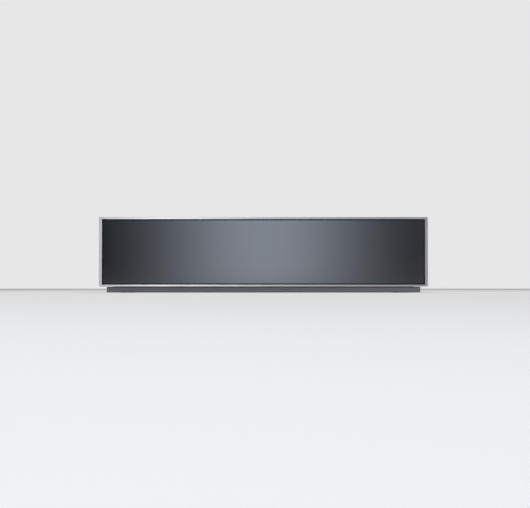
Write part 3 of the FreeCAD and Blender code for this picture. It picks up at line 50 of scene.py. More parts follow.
MM = 0.001
Triple = tuple[float, float, float]
Pair = tuple[float, float]
Socket = bpy.types.NodeSocket

# Half the width of a screwdriver's slot and of a cross, as shares of their reach.
SLOT_HALF = 0.2
CROSS_HALF = 0.25


class Slot(Enum):
    """Material slots of the record, one for each finish."""

    STAINLESS = "stainless_front"
    FRONT_GLASS = "front_glass"
    BLACK_JOINT = "black_joint"
    STRIP = "strip_steel"
    ZINC = "zinc_sheet"
    RUNNER = "runner_steel"
    CAGE = "cage_steel"
    DECK = "deck_steel"
    CHAMBER = "chamber_steel"
    INSERT = "insert_plastic"
    LID_GLASS = "lid_glass"
    SEAL = "seal_silicone"
    COUNTER = "counter_silicone"
    HINGE = "hinge_steel"
    BAR = "bar_aluminium"
    BAND = "band_coating"
    CONTROL_GLASS = "control_glass"
    BOARD = "board_green"
    PUMP = "pump_cast"
    MOTOR = "motor_paint"
    MOUNT = "mount_rubber"
    VALVE = "valve_metal"
    COIL = "coil_plastic"
    HOSE = "hose_silicone"
    FAN = "fan_plastic"
    CORE = "core_iron"
    LATCH = "latch_plastic"
    PAD = "pad_plastic"
    GLAND = "gland_plastic"
    PORT = "port_plastic"


class Axis(Enum):
    """Directions that a round piece can stand along."""

    X = (1.0, 0.0, 0.0)
    Y = (0.0, 1.0, 0.0)
    Z = (0.0, 0.0, 1.0)
    FRONT = (0.0, -1.0, 0.0)
    LEFT = (-1.0, 0.0, 0.0)

    def turn(self) -> Matrix:
        """Returns the rotation that takes Z to this direction."""
        return Vector((0, 0, 1)).rotation_difference(Vector(self.value)).to_matrix()


class Drive(Enum):
    """Recesses in a screw's head, as corners on a circle of radius one."""

    HEX = "hex"
    CROSS = "cross"
    SLOT = "slot"

    def corners(self) -> list[Pair]:
        """Returns the recess outline, turning one way round."""
        if self is Drive.HEX:
            turns = [math.radians(60 * i) for i in range(6)]
            return [(math.cos(a), math.sin(a)) for a in turns]
        if self is Drive.SLOT:
            return [(1.0, -SLOT_HALF), (1.0, SLOT_HALF), (-1.0, SLOT_HALF),
                    (-1.0, -SLOT_HALF)]
        arm = [(1.0, -CROSS_HALF), (1.0, CROSS_HALF), (CROSS_HALF, CROSS_HALF)]
        return [
            (x * c - y * s, x * s + y * c)
            for c, s in ((1, 0), (0, 1), (-1, 0), (0, -1))
            for x, y in arm
        ]


@dataclass(frozen=True)
class Noise:
    """A cloudy pattern: its waves for each metre and how many finer layers it has."""

    scale: float
    detail: float


class Graph:
    """The node tree of one material, with short ways to add to it."""

    def __init__(self, name: str) -> None:
        """Starts a material with one shader.

        Args:
            name: the material's name.
        """
        self.material = bpy.data.materials.new(name)
        self.material.use_nodes = True
        self.tree = self.material.node_tree
        self.tree.nodes.clear()
        self.shader = self.add("ShaderNodeBsdfPrincipled")
        output = self.add("ShaderNodeOutputMaterial")
        self.link(self.shader.outputs["BSDF"], output.inputs["Surface"])
        self.place = self.add("ShaderNodeTexCoord").outputs["Object"]

    def add(self, kind: str, **settings: object) -> bpy.types.Node:
        """Adds a node.

        Args:
            kind: the node's type.
            settings: its properties.

        Returns:
            The node.
        """
        node = self.tree.nodes.new(kind)
        for key, value in settings.items():
            setattr(node, key, value)
        return node

    def link(self, source: Socket, target: Socket) -> None:
        """Joins two sockets."""
        self.tree.links.new(source, target)

    def stretched(self, scale: Triple, turn: float = 0.0) -> Socket:
        """Object coordinates with a scale for each axis.

        Args:
            scale: the scale along X, Y and Z.
            turn: a rotation about Z, in degrees.

        Returns:
            The scaled coordinates.
        """
        mapping = self.add("ShaderNodeMapping")
        mapping.inputs["Scale"].default_value = scale
        mapping.inputs["Rotation"].default_value = (0.0, 0.0, math.radians(turn))
        self.link(self.place, mapping.inputs["Vector"])
        return mapping.outputs["Vector"]

    def noise(self, where: Socket, pattern: Noise) -> Socket:
        """Cloudy noise between nought and one.

        Args:
            where: the coordinates it is read at.
            pattern: how fine it is.

        Returns:
            The noise.
        """
        node = self.add("ShaderNodeTexNoise")
        node.inputs["Scale"].default_value = pattern.scale
        node.inputs["Detail"].default_value = pattern.detail
        self.link(where, node.inputs["Vector"])
        return node.outputs["Fac"]

    def cells(self, where: Socket, scale: float, output: str = "Distance") -> Socket:
        """A pattern of cells.

        Args:
            where: the coordinates it is read at.
            scale: cells for each metre.
            output: Distance for the way from a cell's middle, Color for one colour a cell.

        Returns:
            The chosen output.
        """
        node = self.add("ShaderNodeTexVoronoi")
        node.inputs["Scale"].default_value = scale
        self.link(where, node.inputs["Vector"])
        return node.outputs[output]

    def bands(self, where: Socket, scale: float, direction: str, wobble: float) -> Socket:
        """Even bands across one direction.

        Args:
            where: the coordinates they are read at.
            scale: how close they lie.
            direction: X, Y or Z.
            wobble: how far they stray from straight.

        Returns:
            The bands' height, between nought and one.
        """
        node = self.add("ShaderNodeTexWave", bands_direction=direction)
        node.inputs["Scale"].default_value = scale
        node.inputs["Distortion"].default_value = wobble
        self.link(where, node.inputs["Vector"])
        return node.outputs["Fac"]

    def spread(self, fac: Socket, low: float, high: float, start: float = 0.0,
               end: float = 1.0) -> Socket:
        """Maps a value from one range to another.

        Args:
            fac: the value.
            low: the result at start.
            high: the result at end.
            start: where the range begins.
            end: where it ends.

        Returns:
            The mapped value.
        """
        node = self.add("ShaderNodeMapRange")
        node.inputs["From Min"].default_value = start
        node.inputs["From Max"].default_value = end
        node.inputs["To Min"].default_value = low
        node.inputs["To Max"].default_value = high
        self.link(fac, node.inputs["Value"])
        return node.outputs["Result"]

    def product(self, first: Socket, second: Socket) -> Socket:
        """Multiplies two values.

        Args:
            first: the one value.
            second: the other value.

        Returns:
            Their product.
        """
        node = self.add("ShaderNodeMath", operation="MULTIPLY")
        self.link(first, node.inputs[0])
        self.link(second, node.inputs[1])
        return node.outputs["Value"]

    def fix(self, name: str, value: float | tuple[float, ...]) -> None:
        """Gives one of the shader's sockets a value that is the same all over."""
        self.shader.inputs[name].default_value = value

    def shades(self, fac: Socket, colour: Triple, tones: Pair) -> None:
        """Blends the shader's own colour between a dark and a light shade.

        Args:
            fac: nought for the first shade, one for the second.
            colour: the colour that both are shades of.
            tones: each shade's share of that colour.
        """
        node = self.add("ShaderNodeMix", data_type="RGBA")
        node.inputs["A"].default_value = (*shade(colour, tones[0]), 1.0)
        node.inputs["B"].default_value = (*shade(colour, tones[1]), 1.0)
        self.link(fac, node.inputs["Factor"])
        self.link(node.outputs["Result"], self.shader.inputs["Base Color"])

    def rough(self, fac: Socket, middle: float, swing: Pair) -> None:
        """Varies the shader's roughness.

        Args:
            fac: nought for the first value, one for the second.
            middle: the roughness that it varies about.
            swing: what is added to it at both ends.
        """
        ends = (middle + swing[0], middle + swing[1])
        self.link(self.spread(fac, *ends), self.shader.inputs["Roughness"])

    def bump(self, height: Socket, depth: float, below: Socket | None = None) -> Socket:
        """Raises the surface by a height.

        Args:
            height: between nought and one.
            depth: how high one is, in millimetres.
            below: an earlier bump that this one lies on.

        Returns:
            The bumped normal, which the shader already has.
        """
        node = self.add("ShaderNodeBump")
        node.inputs["Strength"].default_value = 1.0
        node.inputs["Distance"].default_value = depth * MM
        self.link(height, node.inputs["Height"])
        if below is not None:
            self.link(below, node.inputs["Normal"])
        self.link(node.outputs["Normal"], self.shader.inputs["Normal"])
        return node.outputs["Normal"]


def shade(colour: Triple, share: float) -> Triple:
    """Returns the colour times a share."""
    return tuple(min(1.0, channel * share) for channel in colour)


@dataclass(frozen=True)
class Finish:
    """What every finish has: its colour and how rough it is."""

    colour: Triple
    roughness: float

    def build(self, name: str) -> bpy.types.Material:
        """Makes the material.

        Args:
            name: the material's name.

        Returns:
            The material.
        """
        graph = Graph(name)
        graph.fix("Base Color", (*self.colour, 1.0))
        graph.fix("Roughness", self.roughness)
        self.detail(graph)
        return graph.material

    def detail(self, graph: Graph) -> None:
        """Adds the finish's own pattern to the graph.

        Args:
            graph: the material's nodes.
        """
        raise NotImplementedError


@dataclass(frozen=True)
class BrushedMetal(Finish):
    """Metal with a grain along one direction, dull patches and faint rubs."""

    grain: Triple = (6.0, 900.0, 900.0)
    depth: float = 0.004
    lines: Noise = Noise(1.0, 4.0)
    patches: Noise = Noise(9.0, 5.0)
    rubs: Noise = Noise(1.0, 2.0)
    rub_width: float = 6.0
    tones: Pair = (0.86, 1.1)
    patch_gloss: Pair = (0.82, 1.18)
    rub_gloss: Pair = (0.9, 1.1)

    def detail(self, graph: Graph) -> None:
        """Adds the grain, the patches and the rubs.

        Args:
            graph: the material's nodes.
        """
        graph.fix("Metallic", 1.0)
        grain = graph.noise(graph.stretched(self.grain), self.lines)
        cloud = graph.noise(graph.place, self.patches)
        wide = tuple(part / self.rub_width for part in self.grain)
        rubs = graph.noise(graph.stretched(wide), self.rubs)
        graph.shades(grain, self.colour, self.tones)
        mixed = graph.product(graph.spread(cloud, *self.patch_gloss),
                              graph.spread(rubs, *self.rub_gloss))
        scaled = graph.spread(mixed, 0.0, self.roughness)
        graph.link(scaled, graph.shader.inputs["Roughness"])
        graph.bump(grain, self.depth)


@dataclass(frozen=True)
class PolishedFrame(BrushedMetal):
    """Metal brushed along the front, whose lights are drawn out upright."""

    stretch: float = 0.9
    quarter_turn: float = 0.25

    def detail(self, graph: Graph) -> None:
        """Adds the brushed grain and the way that it stretches lights.

        Args:
            graph: the material's nodes.
        """
        super().detail(graph)
        graph.fix("Anisotropic", self.stretch)
        graph.fix("Anisotropic Rotation", self.quarter_turn)
        tangent = graph.add("ShaderNodeTangent", direction_type="RADIAL", axis="Z")
        graph.link(tangent.outputs["Tangent"], graph.shader.inputs["Tangent"])


@dataclass(frozen=True)
class SheetZinc(Finish):
    """Galvanised sheet, with its flakes of zinc."""

    metallic: float = 0.9
    flake: float = 130.0
    bloom: Noise = Noise(14.0, 5.0)
    mill: Noise = Noise(2200.0, 2.0)
    flake_tones: Pair = (0.7, 1.0)
    bloom_tones: Pair = (0.8, 1.2)
    tones: Pair = (0.55, 1.12)
    gloss: Pair = (0.12, -0.08)
    depth: float = 0.004

    def detail(self, graph: Graph) -> None:
        """Adds the flakes, a dull bloom and the mill's fine lines.

        Args:
            graph: the material's nodes.
        """
        graph.fix("Metallic", self.metallic)
        flakes = graph.cells(graph.place, self.flake, "Color")
        split = graph.add("ShaderNodeSeparateColor")
        graph.link(flakes, split.inputs["Color"])
        flat = split.outputs["Red"]
        bloom = graph.noise(graph.place, self.bloom)
        mixed = graph.product(graph.spread(flat, *self.flake_tones),
                              graph.spread(bloom, *self.bloom_tones))
        graph.shades(mixed, self.colour, self.tones)
        graph.rough(mixed, self.roughness, self.gloss)
        fine = graph.noise(graph.place, self.mill)
        under = graph.bump(flat, self.depth)
        graph.bump(fine, self.depth, under)


@dataclass(frozen=True)
class CastMetal(Finish):
    """Sand-grained casting."""

    metallic: float = 0.85
    skin: Noise = Noise(1400.0, 4.0)
    stain: Noise = Noise(30.0, 6.0)
    tones: Pair = (0.72, 1.12)
    gloss: Pair = (-0.1, 0.15)
    depth: float = 0.05

    def detail(self, graph: Graph) -> None:
        """Adds the cast skin and its darker hollows.

        Args:
            graph: the material's nodes.
        """
        graph.fix("Metallic", self.metallic)
        skin = graph.noise(graph.place, self.skin)
        stain = graph.noise(graph.place, self.stain)
        graph.shades(stain, self.colour, self.tones)
        graph.rough(skin, self.roughness, self.gloss)
        graph.bump(skin, self.depth)


@dataclass(frozen=True)
class PaintedMetal(Finish):
    """Sprayed paint with an orange-peel skin."""

    peel: Noise = Noise(900.0, 2.0)
    cloud: Noise = Noise(22.0, 5.0)
    tones: Pair = (0.85, 1.2)
    gloss: Pair = (-0.08, 0.12)
    coat: float = 0.25
    coat_roughness: float = 0.3
    depth: float = 0.02

    def detail(self, graph: Graph) -> None:
        """Adds the peel and a cloudy gloss.

        Args:
            graph: the material's nodes.
        """
        peel = graph.noise(graph.place, self.peel)
        cloud = graph.noise(graph.place, self.cloud)
        graph.shades(cloud, self.colour, self.tones)
        graph.rough(cloud, self.roughness, self.gloss)
        graph.fix("Coat Weight", self.coat)
        graph.fix("Coat Roughness", self.coat_roughness)
        graph.bump(peel, self.depth)


@dataclass(frozen=True)
class DarkGlass(Finish):
    """Glass printed dark on its back, with a faint haze of wiping."""

    index: float = 1.5
    haze: float = 0.02
    wipes: Noise = Noise(1.0, 4.0)
    wipe_stretch: Triple = (3.0, 3.0, 16.0)
    wipe_turn: float = 20.0
    film: Noise = Noise(5.0, 3.0)
    tones: Pair = (0.9, 1.1)
    depth: float = 0.01

    def detail(self, graph: Graph) -> None:
        """Adds the haze and the pane's slight waviness.

        Args:
            graph: the material's nodes.
        """
        graph.fix("IOR", self.index)
        wipes = graph.noise(graph.stretched(self.wipe_stretch, self.wipe_turn), self.wipes)
        film = graph.noise(graph.place, self.film)
        graph.rough(wipes, self.roughness, (-self.haze, self.haze))
        graph.shades(film, self.colour, self.tones)
        graph.bump(film, self.depth)


@dataclass(frozen=True)
class ClearGlass(Finish):
    """Clear toughened glass."""

    index: float = 1.5
    wipes: Noise = Noise(1.0, 4.0)
    wipe_stretch: Triple = (4.0, 22.0, 4.0)
    wipe_turn: float = 30.0

    def detail(self, graph: Graph) -> None:
        """Adds the clearness and faint wiping marks.

        Args:
            graph: the material's nodes.
        """
        graph.fix("IOR", self.index)
        graph.fix("Transmission Weight", 1.0)
        wipes = graph.noise(graph.stretched(self.wipe_stretch, self.wipe_turn), self.wipes)
        graph.rough(wipes, self.roughness, (-self.roughness, self.roughness))


@dataclass(frozen=True)
class Elastomer(Finish):
    """Rubber or silicone, matt with a soft bloom."""

    bloom: float = 0.3
    dust: Noise = Noise(60.0, 6.0)
    skin: Noise = Noise(1500.0, 3.0)
    dark_tone: float = 0.85
    gloss: Pair = (-0.1, 0.12)
    sheen: float = 0.15
    sheen_roughness: float = 0.5
    depth: float = 0.012

    def detail(self, graph: Graph) -> None:
        """Adds the bloom, its sheen and a fine skin.

        Args:
            graph: the material's nodes.
        """
        dust = graph.noise(graph.place, self.dust)
        skin = graph.noise(graph.place, self.skin)
        graph.shades(dust, self.colour, (self.dark_tone, 1.0 + self.bloom))
        graph.rough(dust, self.roughness, self.gloss)
        graph.fix("Sheen Weight", self.sheen)
        graph.fix("Sheen Roughness", self.sheen_roughness)
        graph.bump(skin, self.depth)


@dataclass(frozen=True)
class BlackGap(Elastomer):
    """Dull black in a groove, which gives back almost no light."""

    sheen: float = 0.0
    specular: float = 0.05

    def detail(self, graph: Graph) -> None:
        """Adds the rubber's skin without its gloss.

        Args:
            graph: the material's nodes.
        """
        super().detail(graph)
        graph.fix("Specular IOR Level", self.specular)


@dataclass(frozen=True)
class MouldedPlastic(Finish):
    """Moulded plastic with a sparked texture."""

    texture: float = 1600.0
    depth: float = 0.02
    cloud: Noise = Noise(16.0, 4.0)
    tones: Pair = (0.9, 1.12)
    gloss: Pair = (-0.1, 0.1)

    def detail(self, graph: Graph) -> None:
        """Adds the texture, flow clouds and rubbed gloss.

        Args:
            graph: the material's nodes.
        """
        spark = graph.cells(graph.place, self.texture)
        cloud = graph.noise(graph.place, self.cloud)
        graph.shades(cloud, self.colour, self.tones)
        graph.rough(cloud, self.roughness, self.gloss)
        graph.bump(spark, self.depth)


@dataclass(frozen=True)
class CircuitBoard(Finish):
    """Lacquered board with copper tracks under the lacquer."""

    track: Triple = (0.05, 0.24, 0.1)
    track_scale: float = 170.0
    track_width: float = 0.035
    track_depth: float = 0.03
    light_tone: float = 1.25
    ripple: Noise = Noise(120.0, 3.0)
    ripple_depth: float = 0.02
    gloss: Pair = (-0.08, 0.1)
    lacquer: float = 0.3

    def detail(self, graph: Graph) -> None:
        """Adds the tracks, the lacquer's gloss and its ripple.

        Args:
            graph: the material's nodes.
        """
        brick = graph.add("ShaderNodeTexBrick")
        brick.inputs["Scale"].default_value = self.track_scale
        brick.inputs["Mortar Size"].default_value = self.track_width
        brick.inputs["Color1"].default_value = (*self.colour, 1.0)
        brick.inputs["Color2"].default_value = (*shade(self.colour, self.light_tone), 1.0)
        brick.inputs["Mortar"].default_value = (*self.track, 1.0)
        graph.link(graph.place, brick.inputs["Vector"])
        graph.link(brick.outputs["Color"], graph.shader.inputs["Base Color"])
        ripple = graph.noise(graph.place, self.ripple)
        graph.rough(ripple, self.roughness, self.gloss)
        graph.fix("Coat Weight", self.lacquer)
        under = graph.bump(ripple, self.ripple_depth)
        graph.bump(brick.outputs["Fac"], self.track_depth, under)


@dataclass(frozen=True)
class Laminations(Finish):
    """Stacked iron sheets, seen from their edges."""

    metallic: float = 0.7
    pitch: float = 320.0
    direction: str = "Y"
    wobble: float = 0.4
    rust: Noise = Noise(90.0, 6.0)
    tones: Pair = (0.6, 1.5)
    gloss: Pair = (-0.15, 0.15)
    depth: float = 0.08

    def detail(self, graph: Graph) -> None:
        """Adds the sheets' edges, varnish and spots of rust.

        Args:
            graph: the material's nodes.
        """
        graph.fix("Metallic", self.metallic)
        sheets = graph.bands(graph.place, self.pitch, self.direction, self.wobble)
        rust = graph.noise(graph.place, self.rust)
        graph.shades(graph.product(sheets, rust), self.colour, self.tones)
        graph.rough(rust, self.roughness, self.gloss)
        graph.bump(sheets, self.depth)


@dataclass(frozen=True)
class Winding(Finish):
    """Turns of wire, or of tape round them."""

    pitch: float = 420.0
    direction: str = "X"
    metallic: float = 0.6
    wobble: float = 1.0
    cloud: Noise = Noise(40.0, 3.0)
    tones: Pair = (0.5, 1.2)
    gloss: Pair = (-0.1, 0.1)
    depth: float = 0.2

    def detail(self, graph: Graph) -> None:
        """Adds the turns and their uneven gloss.

        Args:
            graph: the material's nodes.
        """
        graph.fix("Metallic", self.metallic)
        turns = graph.bands(graph.place, self.pitch, self.direction, self.wobble)
        cloud = graph.noise(graph.place, self.cloud)
        graph.shades(turns, self.colour, self.tones)
        graph.rough(cloud, self.roughness, self.gloss)
        graph.bump(turns, self.depth)


@dataclass(frozen=True)
class Print(Finish):
    """Screen print on glass, with its fine grain."""

    glow: float = 0.0
    grain: Noise = Noise(2500.0, 2.0)
    tones: Pair = (0.92, 1.05)
    gloss: Pair = (-0.05, 0.05)
    depth: float = 0.003

    def detail(self, graph: Graph) -> None:
        """Adds the ink's grain and, for a lamp, its glow.

        Args:
            graph: the material's nodes.
        """
        grain = graph.noise(graph.place, self.grain)
        graph.shades(grain, self.colour, self.tones)
        graph.rough(grain, self.roughness, self.gloss)
        graph.bump(grain, self.depth)
        if self.glow:
            graph.fix("Emission Color", (*self.colour, 1.0))
            graph.fix("Emission Strength", self.glow)


FINISHES: dict[Slot, Finish] = {
    Slot.STAINLESS: PolishedFrame((0.52, 0.52, 0.53), 0.36, grain=(5.0, 700.0, 1100.0)),
    Slot.FRONT_GLASS: DarkGlass((0.004, 0.005, 0.006), 0.09, index=1.9),
    Slot.BLACK_JOINT: BlackGap((0.003, 0.003, 0.003), 0.8),
    Slot.STRIP: BrushedMetal((0.26, 0.26, 0.27), 0.45, grain=(5.0, 900.0, 900.0)),
    Slot.ZINC: SheetZinc((0.62, 0.64, 0.66), 0.42),
    Slot.RUNNER: BrushedMetal((0.66, 0.68, 0.7), 0.3, grain=(900.0, 9.0, 900.0)),
    Slot.CAGE: BrushedMetal((0.4, 0.42, 0.45), 0.36, grain=(700.0, 14.0, 700.0)),
    Slot.DECK: BrushedMetal((0.66, 0.66, 0.66), 0.36, grain=(5.0, 1000.0, 1000.0)),
    Slot.CHAMBER: BrushedMetal((0.72, 0.72, 0.72), 0.2, grain=(160.0, 160.0, 30.0),
                               depth=0.002),
    Slot.INSERT: MouldedPlastic((0.72, 0.73, 0.73), 0.45),
    Slot.LID_GLASS: ClearGlass((0.93, 0.97, 0.96), 0.02),
    Slot.SEAL: Elastomer((0.06, 0.06, 0.065), 0.55),
    Slot.COUNTER: Elastomer((0.35, 0.06, 0.04), 0.5),
    Slot.HINGE: BrushedMetal((0.6, 0.6, 0.61), 0.32, grain=(60.0, 900.0, 900.0)),
    Slot.BAR: BrushedMetal((0.78, 0.79, 0.8), 0.3, grain=(12.0, 1200.0, 1200.0)),
    Slot.BAND: MouldedPlastic((0.45, 0.3, 0.16), 0.5, texture=2600.0, depth=0.03),
    Slot.CONTROL_GLASS: DarkGlass((0.006, 0.006, 0.007), 0.07),
    Slot.BOARD: CircuitBoard((0.012, 0.11, 0.045), 0.35),
    Slot.PUMP: CastMetal((0.55, 0.56, 0.57), 0.45),
    Slot.MOTOR: PaintedMetal((0.035, 0.037, 0.042), 0.4),
    Slot.MOUNT: Elastomer((0.012, 0.012, 0.012), 0.75),
    Slot.VALVE: CastMetal((0.62, 0.6, 0.55), 0.35, skin=Noise(2400.0, 4.0), depth=0.015),
    Slot.COIL: MouldedPlastic((0.015, 0.015, 0.017), 0.4),
    Slot.HOSE: Elastomer((0.66, 0.66, 0.62), 0.35, bloom=0.12),
    Slot.FAN: MouldedPlastic((0.018, 0.018, 0.02), 0.42),
    Slot.CORE: Laminations((0.16, 0.15, 0.15), 0.5),
    Slot.LATCH: MouldedPlastic((0.5, 0.51, 0.52), 0.45),
    Slot.PAD: MouldedPlastic((0.03, 0.03, 0.03), 0.6, texture=900.0),
    Slot.GLAND: MouldedPlastic((0.02, 0.02, 0.02), 0.5),
    Slot.PORT: MouldedPlastic((0.06, 0.06, 0.065), 0.35),
}


class Extra(Enum):
    """Finishes of the added pieces, each with the slot that it belongs to."""

    INK = (Print((0.8, 0.82, 0.84), 0.4), Slot.CONTROL_GLASS)
    LAMP = (Print((0.9, 0.45, 0.12), 0.3, glow=0.6), Slot.CONTROL_GLASS)
    BRIGHT_SCREW = (BrushedMetal((0.7, 0.71, 0.72), 0.26, grain=(300.0, 300.0, 300.0)),
                    Slot.HINGE)
    BLACK_SCREW = (BrushedMetal((0.03, 0.03, 0.032), 0.38, grain=(300.0, 300.0, 300.0)),
                   Slot.HINGE)
    ZINC_SCREW = (BrushedMetal((0.62, 0.6, 0.52), 0.34, grain=(300.0, 300.0, 300.0)),
                  Slot.ZINC)
    COPPER = (Winding((0.72, 0.3, 0.12), 0.35), Slot.CORE)
    TAPE = (Winding((0.62, 0.5, 0.12), 0.4, pitch=45.0, direction="Z", metallic=0.0),
            Slot.CORE)
    BLACK_PLASTIC = (MouldedPlastic((0.02, 0.02, 0.022), 0.42), Slot.COIL)
    WHITE_PLASTIC = (MouldedPlastic((0.7, 0.69, 0.64), 0.45), Slot.PORT)
    BLUE_PLASTIC = (MouldedPlastic((0.03, 0.12, 0.4), 0.38), Slot.PORT)
    YELLOW_PLASTIC = (MouldedPlastic((0.62, 0.46, 0.05), 0.4), Slot.PORT)
    CAN = (BrushedMetal((0.72, 0.73, 0.74), 0.28, grain=(200.0, 200.0, 20.0)), Slot.BOARD)
    SLEEVE = (MouldedPlastic((0.02, 0.025, 0.06), 0.32), Slot.BOARD)
    GOLD = (BrushedMetal((0.8, 0.62, 0.3), 0.25, grain=(400.0, 400.0, 400.0)), Slot.BOARD)

    def finish(self) -> Finish:
        """Returns the finish itself."""
        return self.value[0]

    def slot(self) -> Slot:
        """Returns the record's slot that the finish belongs to."""
        return self.value[1]


class Palette:
    """Every material, made once."""

    def __init__(self) -> None:
        """Builds the materials of the slots and of the extra pieces."""
        self.slots = {slot: finish.build(slot.value) for slot, finish in FINISHES.items()}
        self.extras = {extra: extra.finish().build(extra.name.lower()) for extra in Extra}

    def dress(self, node: str, slot: Slot) -> None:
        """Gives a CAD node its material.

        Args:
            node: the node's name.
            slot: the slot whose material it gets.
        """
        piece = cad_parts[node]
        if not piece.material_slots:
            piece.data.materials.append(None)
        for place in piece.material_slots:
            place.material = self.slots[slot]
        LOG.info("node %s has %s", node, slot.value)


@dataclass(frozen=True)
class Head:
    """Size of a screw's or a rivet's head, and the recess of a screw."""

    radius: float
    height: float
    drive: Drive = Drive.CROSS


class Form:
    """A mesh in the making, in millimetres, that one piece is made of.

    HEAD_STEPS and DOME give the outline of a screw's and a rivet's head as shares of its height
    and radius. RECESS holds the reach, depth and taper of the recess for the driver, as shares.
    """

    ROUND = 32
    HEAD_SIDES = 24
    HEAD_STEPS = ((0.5, 1.0), (0.82, 0.9), (1.0, 0.68))
    RECESS = (0.52, 0.55, 0.8)
    RIVET_SIDES = 20
    DOME = ((1.0, 0.0), (0.92, 0.5), (0.6, 0.88), (0.0, 1.0))
    CORNER_STEPS = 8
    SHARP_ANGLE = 40.0
    SMOOTH_ANGLE = 32.0
    SEAM = 0.0005
    DOUBLES = 1e-7

    def __init__(self) -> None:
        """Starts an empty mesh."""
        self.mesh = bmesh.new()
        self.marked: set[bmesh.types.BMVert] = set()

    def mark(self) -> None:
        """Remembers which corners are already there."""
        self.marked = set(self.mesh.verts)

    def fresh(self) -> list[bmesh.types.BMVert]:
        """Returns the corners added since the last mark."""
        return [corner for corner in self.mesh.verts if corner not in self.marked]

    def soften(self, corners: list[bmesh.types.BMVert], edge: float, steps: int = 2) -> None:
        """Bevels the sharp edges among some corners.

        Args:
            corners: the corners whose edges are looked at.
            edge: the bevel's width.
            steps: how many faces it has.
        """
        chosen = set(corners)
        self.mesh.normal_update()
        edges = [
            e for e in self.mesh.edges
            if e.verts[0] in chosen and e.verts[1] in chosen and len(e.link_faces) == 2
            and e.calc_face_angle(0.0) > math.radians(self.SHARP_ANGLE)
        ]
        bmesh.ops.bevel(self.mesh, geom=edges, offset=edge, offset_type="OFFSET",
                        segments=steps, profile=0.5, affect="EDGES", material=-1,
                        clamp_overlap=True)

    def block(self, low: Triple, high: Triple, edge: float = 0.0, steps: int = 2) -> None:
        """Adds a box between two corners.

        Args:
            low: its lowest corner.
            high: its highest corner.
            edge: the bevel of its edges, if any.
            steps: how many faces the bevel has.
        """
        self.mark()
        made = bmesh.ops.create_cube(self.mesh, size=1.0)["verts"]
        low_corner, high_corner = Vector(low), Vector(high)
        bmesh.ops.scale(self.mesh, vec=high_corner - low_corner, verts=made)
        bmesh.ops.translate(self.mesh, vec=(low_corner + high_corner) / 2, verts=made)
        if edge:
            self.soften(made, edge, steps)

    def drum(self, foot: Triple, axis: Axis, radius: float, height: float, edge: float,
             sides: int = ROUND) -> None:
        """Adds a round or many-sided pillar.

        Args:
            foot: the middle of its foot.
            axis: the way it stands.
            radius: its radius.
            height: its height.
            edge: the bevel of its rims.
            sides: how many sides it has.
        """
        self.mark()
        made = bmesh.ops.create_cone(
            self.mesh, cap_ends=True, cap_tris=False, segments=sides, radius1=radius,
            radius2=radius, depth=height,
        )["verts"]
        bmesh.ops.translate(self.mesh, vec=(0, 0, height / 2), verts=made)
        self.soften(made, edge)
        self.stand(foot, axis)

    def stand(self, foot: Triple, axis: Axis) -> None:
        """Turns and moves the fresh corners from the origin to their place.

        Args:
            foot: where the origin goes.
            axis: where Z goes.
        """
        made = self.fresh()
        bmesh.ops.rotate(self.mesh, cent=(0, 0, 0), matrix=axis.turn(), verts=made)
        bmesh.ops.translate(self.mesh, vec=foot, verts=made)

    def turned(self, outline: list[Pair], foot: Triple, axis: Axis,
               sides: int = ROUND) -> None:
        """Spins an outline round an axis.

        Args:
            outline: radius and height of each point.
            foot: where its height is nought.
            axis: the way it stands.
            sides: how many sides it has.
        """
        self.mark()
        points = [self.mesh.verts.new((radius, 0, height)) for radius, height in outline]
        edges = [self.mesh.edges.new(pair) for pair in zip(points, points[1:])]
        bmesh.ops.spin(self.mesh, geom=points + edges, cent=(0, 0, 0), axis=(0, 0, 1),
                       angle=math.tau, steps=sides, use_merge=True)
        bmesh.ops.remove_doubles(self.mesh, verts=self.fresh(), dist=self.SEAM)
        self.stand(foot, axis)

    def screw(self, seat: Triple, axis: Axis, head: Head) -> None:
        """Adds a pan head with a recess for its driver.

        Args:
            seat: the middle of the face that it sits on.
            axis: the way its head points.
            head: its size and its recess.
        """
        self.mark()
        rim = bmesh.ops.create_circle(self.mesh, cap_ends=True, radius=head.radius,
                                      segments=self.HEAD_SIDES)["verts"]
        edges = list({e for corner in rim for e in corner.link_edges})
        level, width = 0.0, 1.0
        for next_level, next_width in self.HEAD_STEPS:
            rise = (next_level - level) * head.height
            edges = self.grow(edges, rise, next_width / width)
            level, width = next_level, next_width
        share, depth, taper = self.RECESS
        reach = head.radius * share
        corners = [self.mesh.verts.new((x * reach, y * reach, head.height))
                   for x, y in head.drive.corners()]
        recess = [self.mesh.edges.new((corners[i - 1], corners[i]))
                  for i in range(len(corners))]
        bmesh.ops.bridge_loops(self.mesh, edges=edges + recess)
        floor = self.grow(recess, -depth * head.height, taper)
        bmesh.ops.edgeloop_fill(self.mesh, edges=floor)
        self.stand(seat, axis)

    def rivet(self, seat: Triple, axis: Axis, head: Head) -> None:
        """Adds a domed rivet head.

        Args:
            seat: the middle of the face that it sits on.
            axis: the way its head points.
            head: its size.
        """
        dome = [(head.radius * width, head.height * level) for width, level in self.DOME]
        self.turned([(0, 0), *dome], seat, axis, self.RIVET_SIDES)

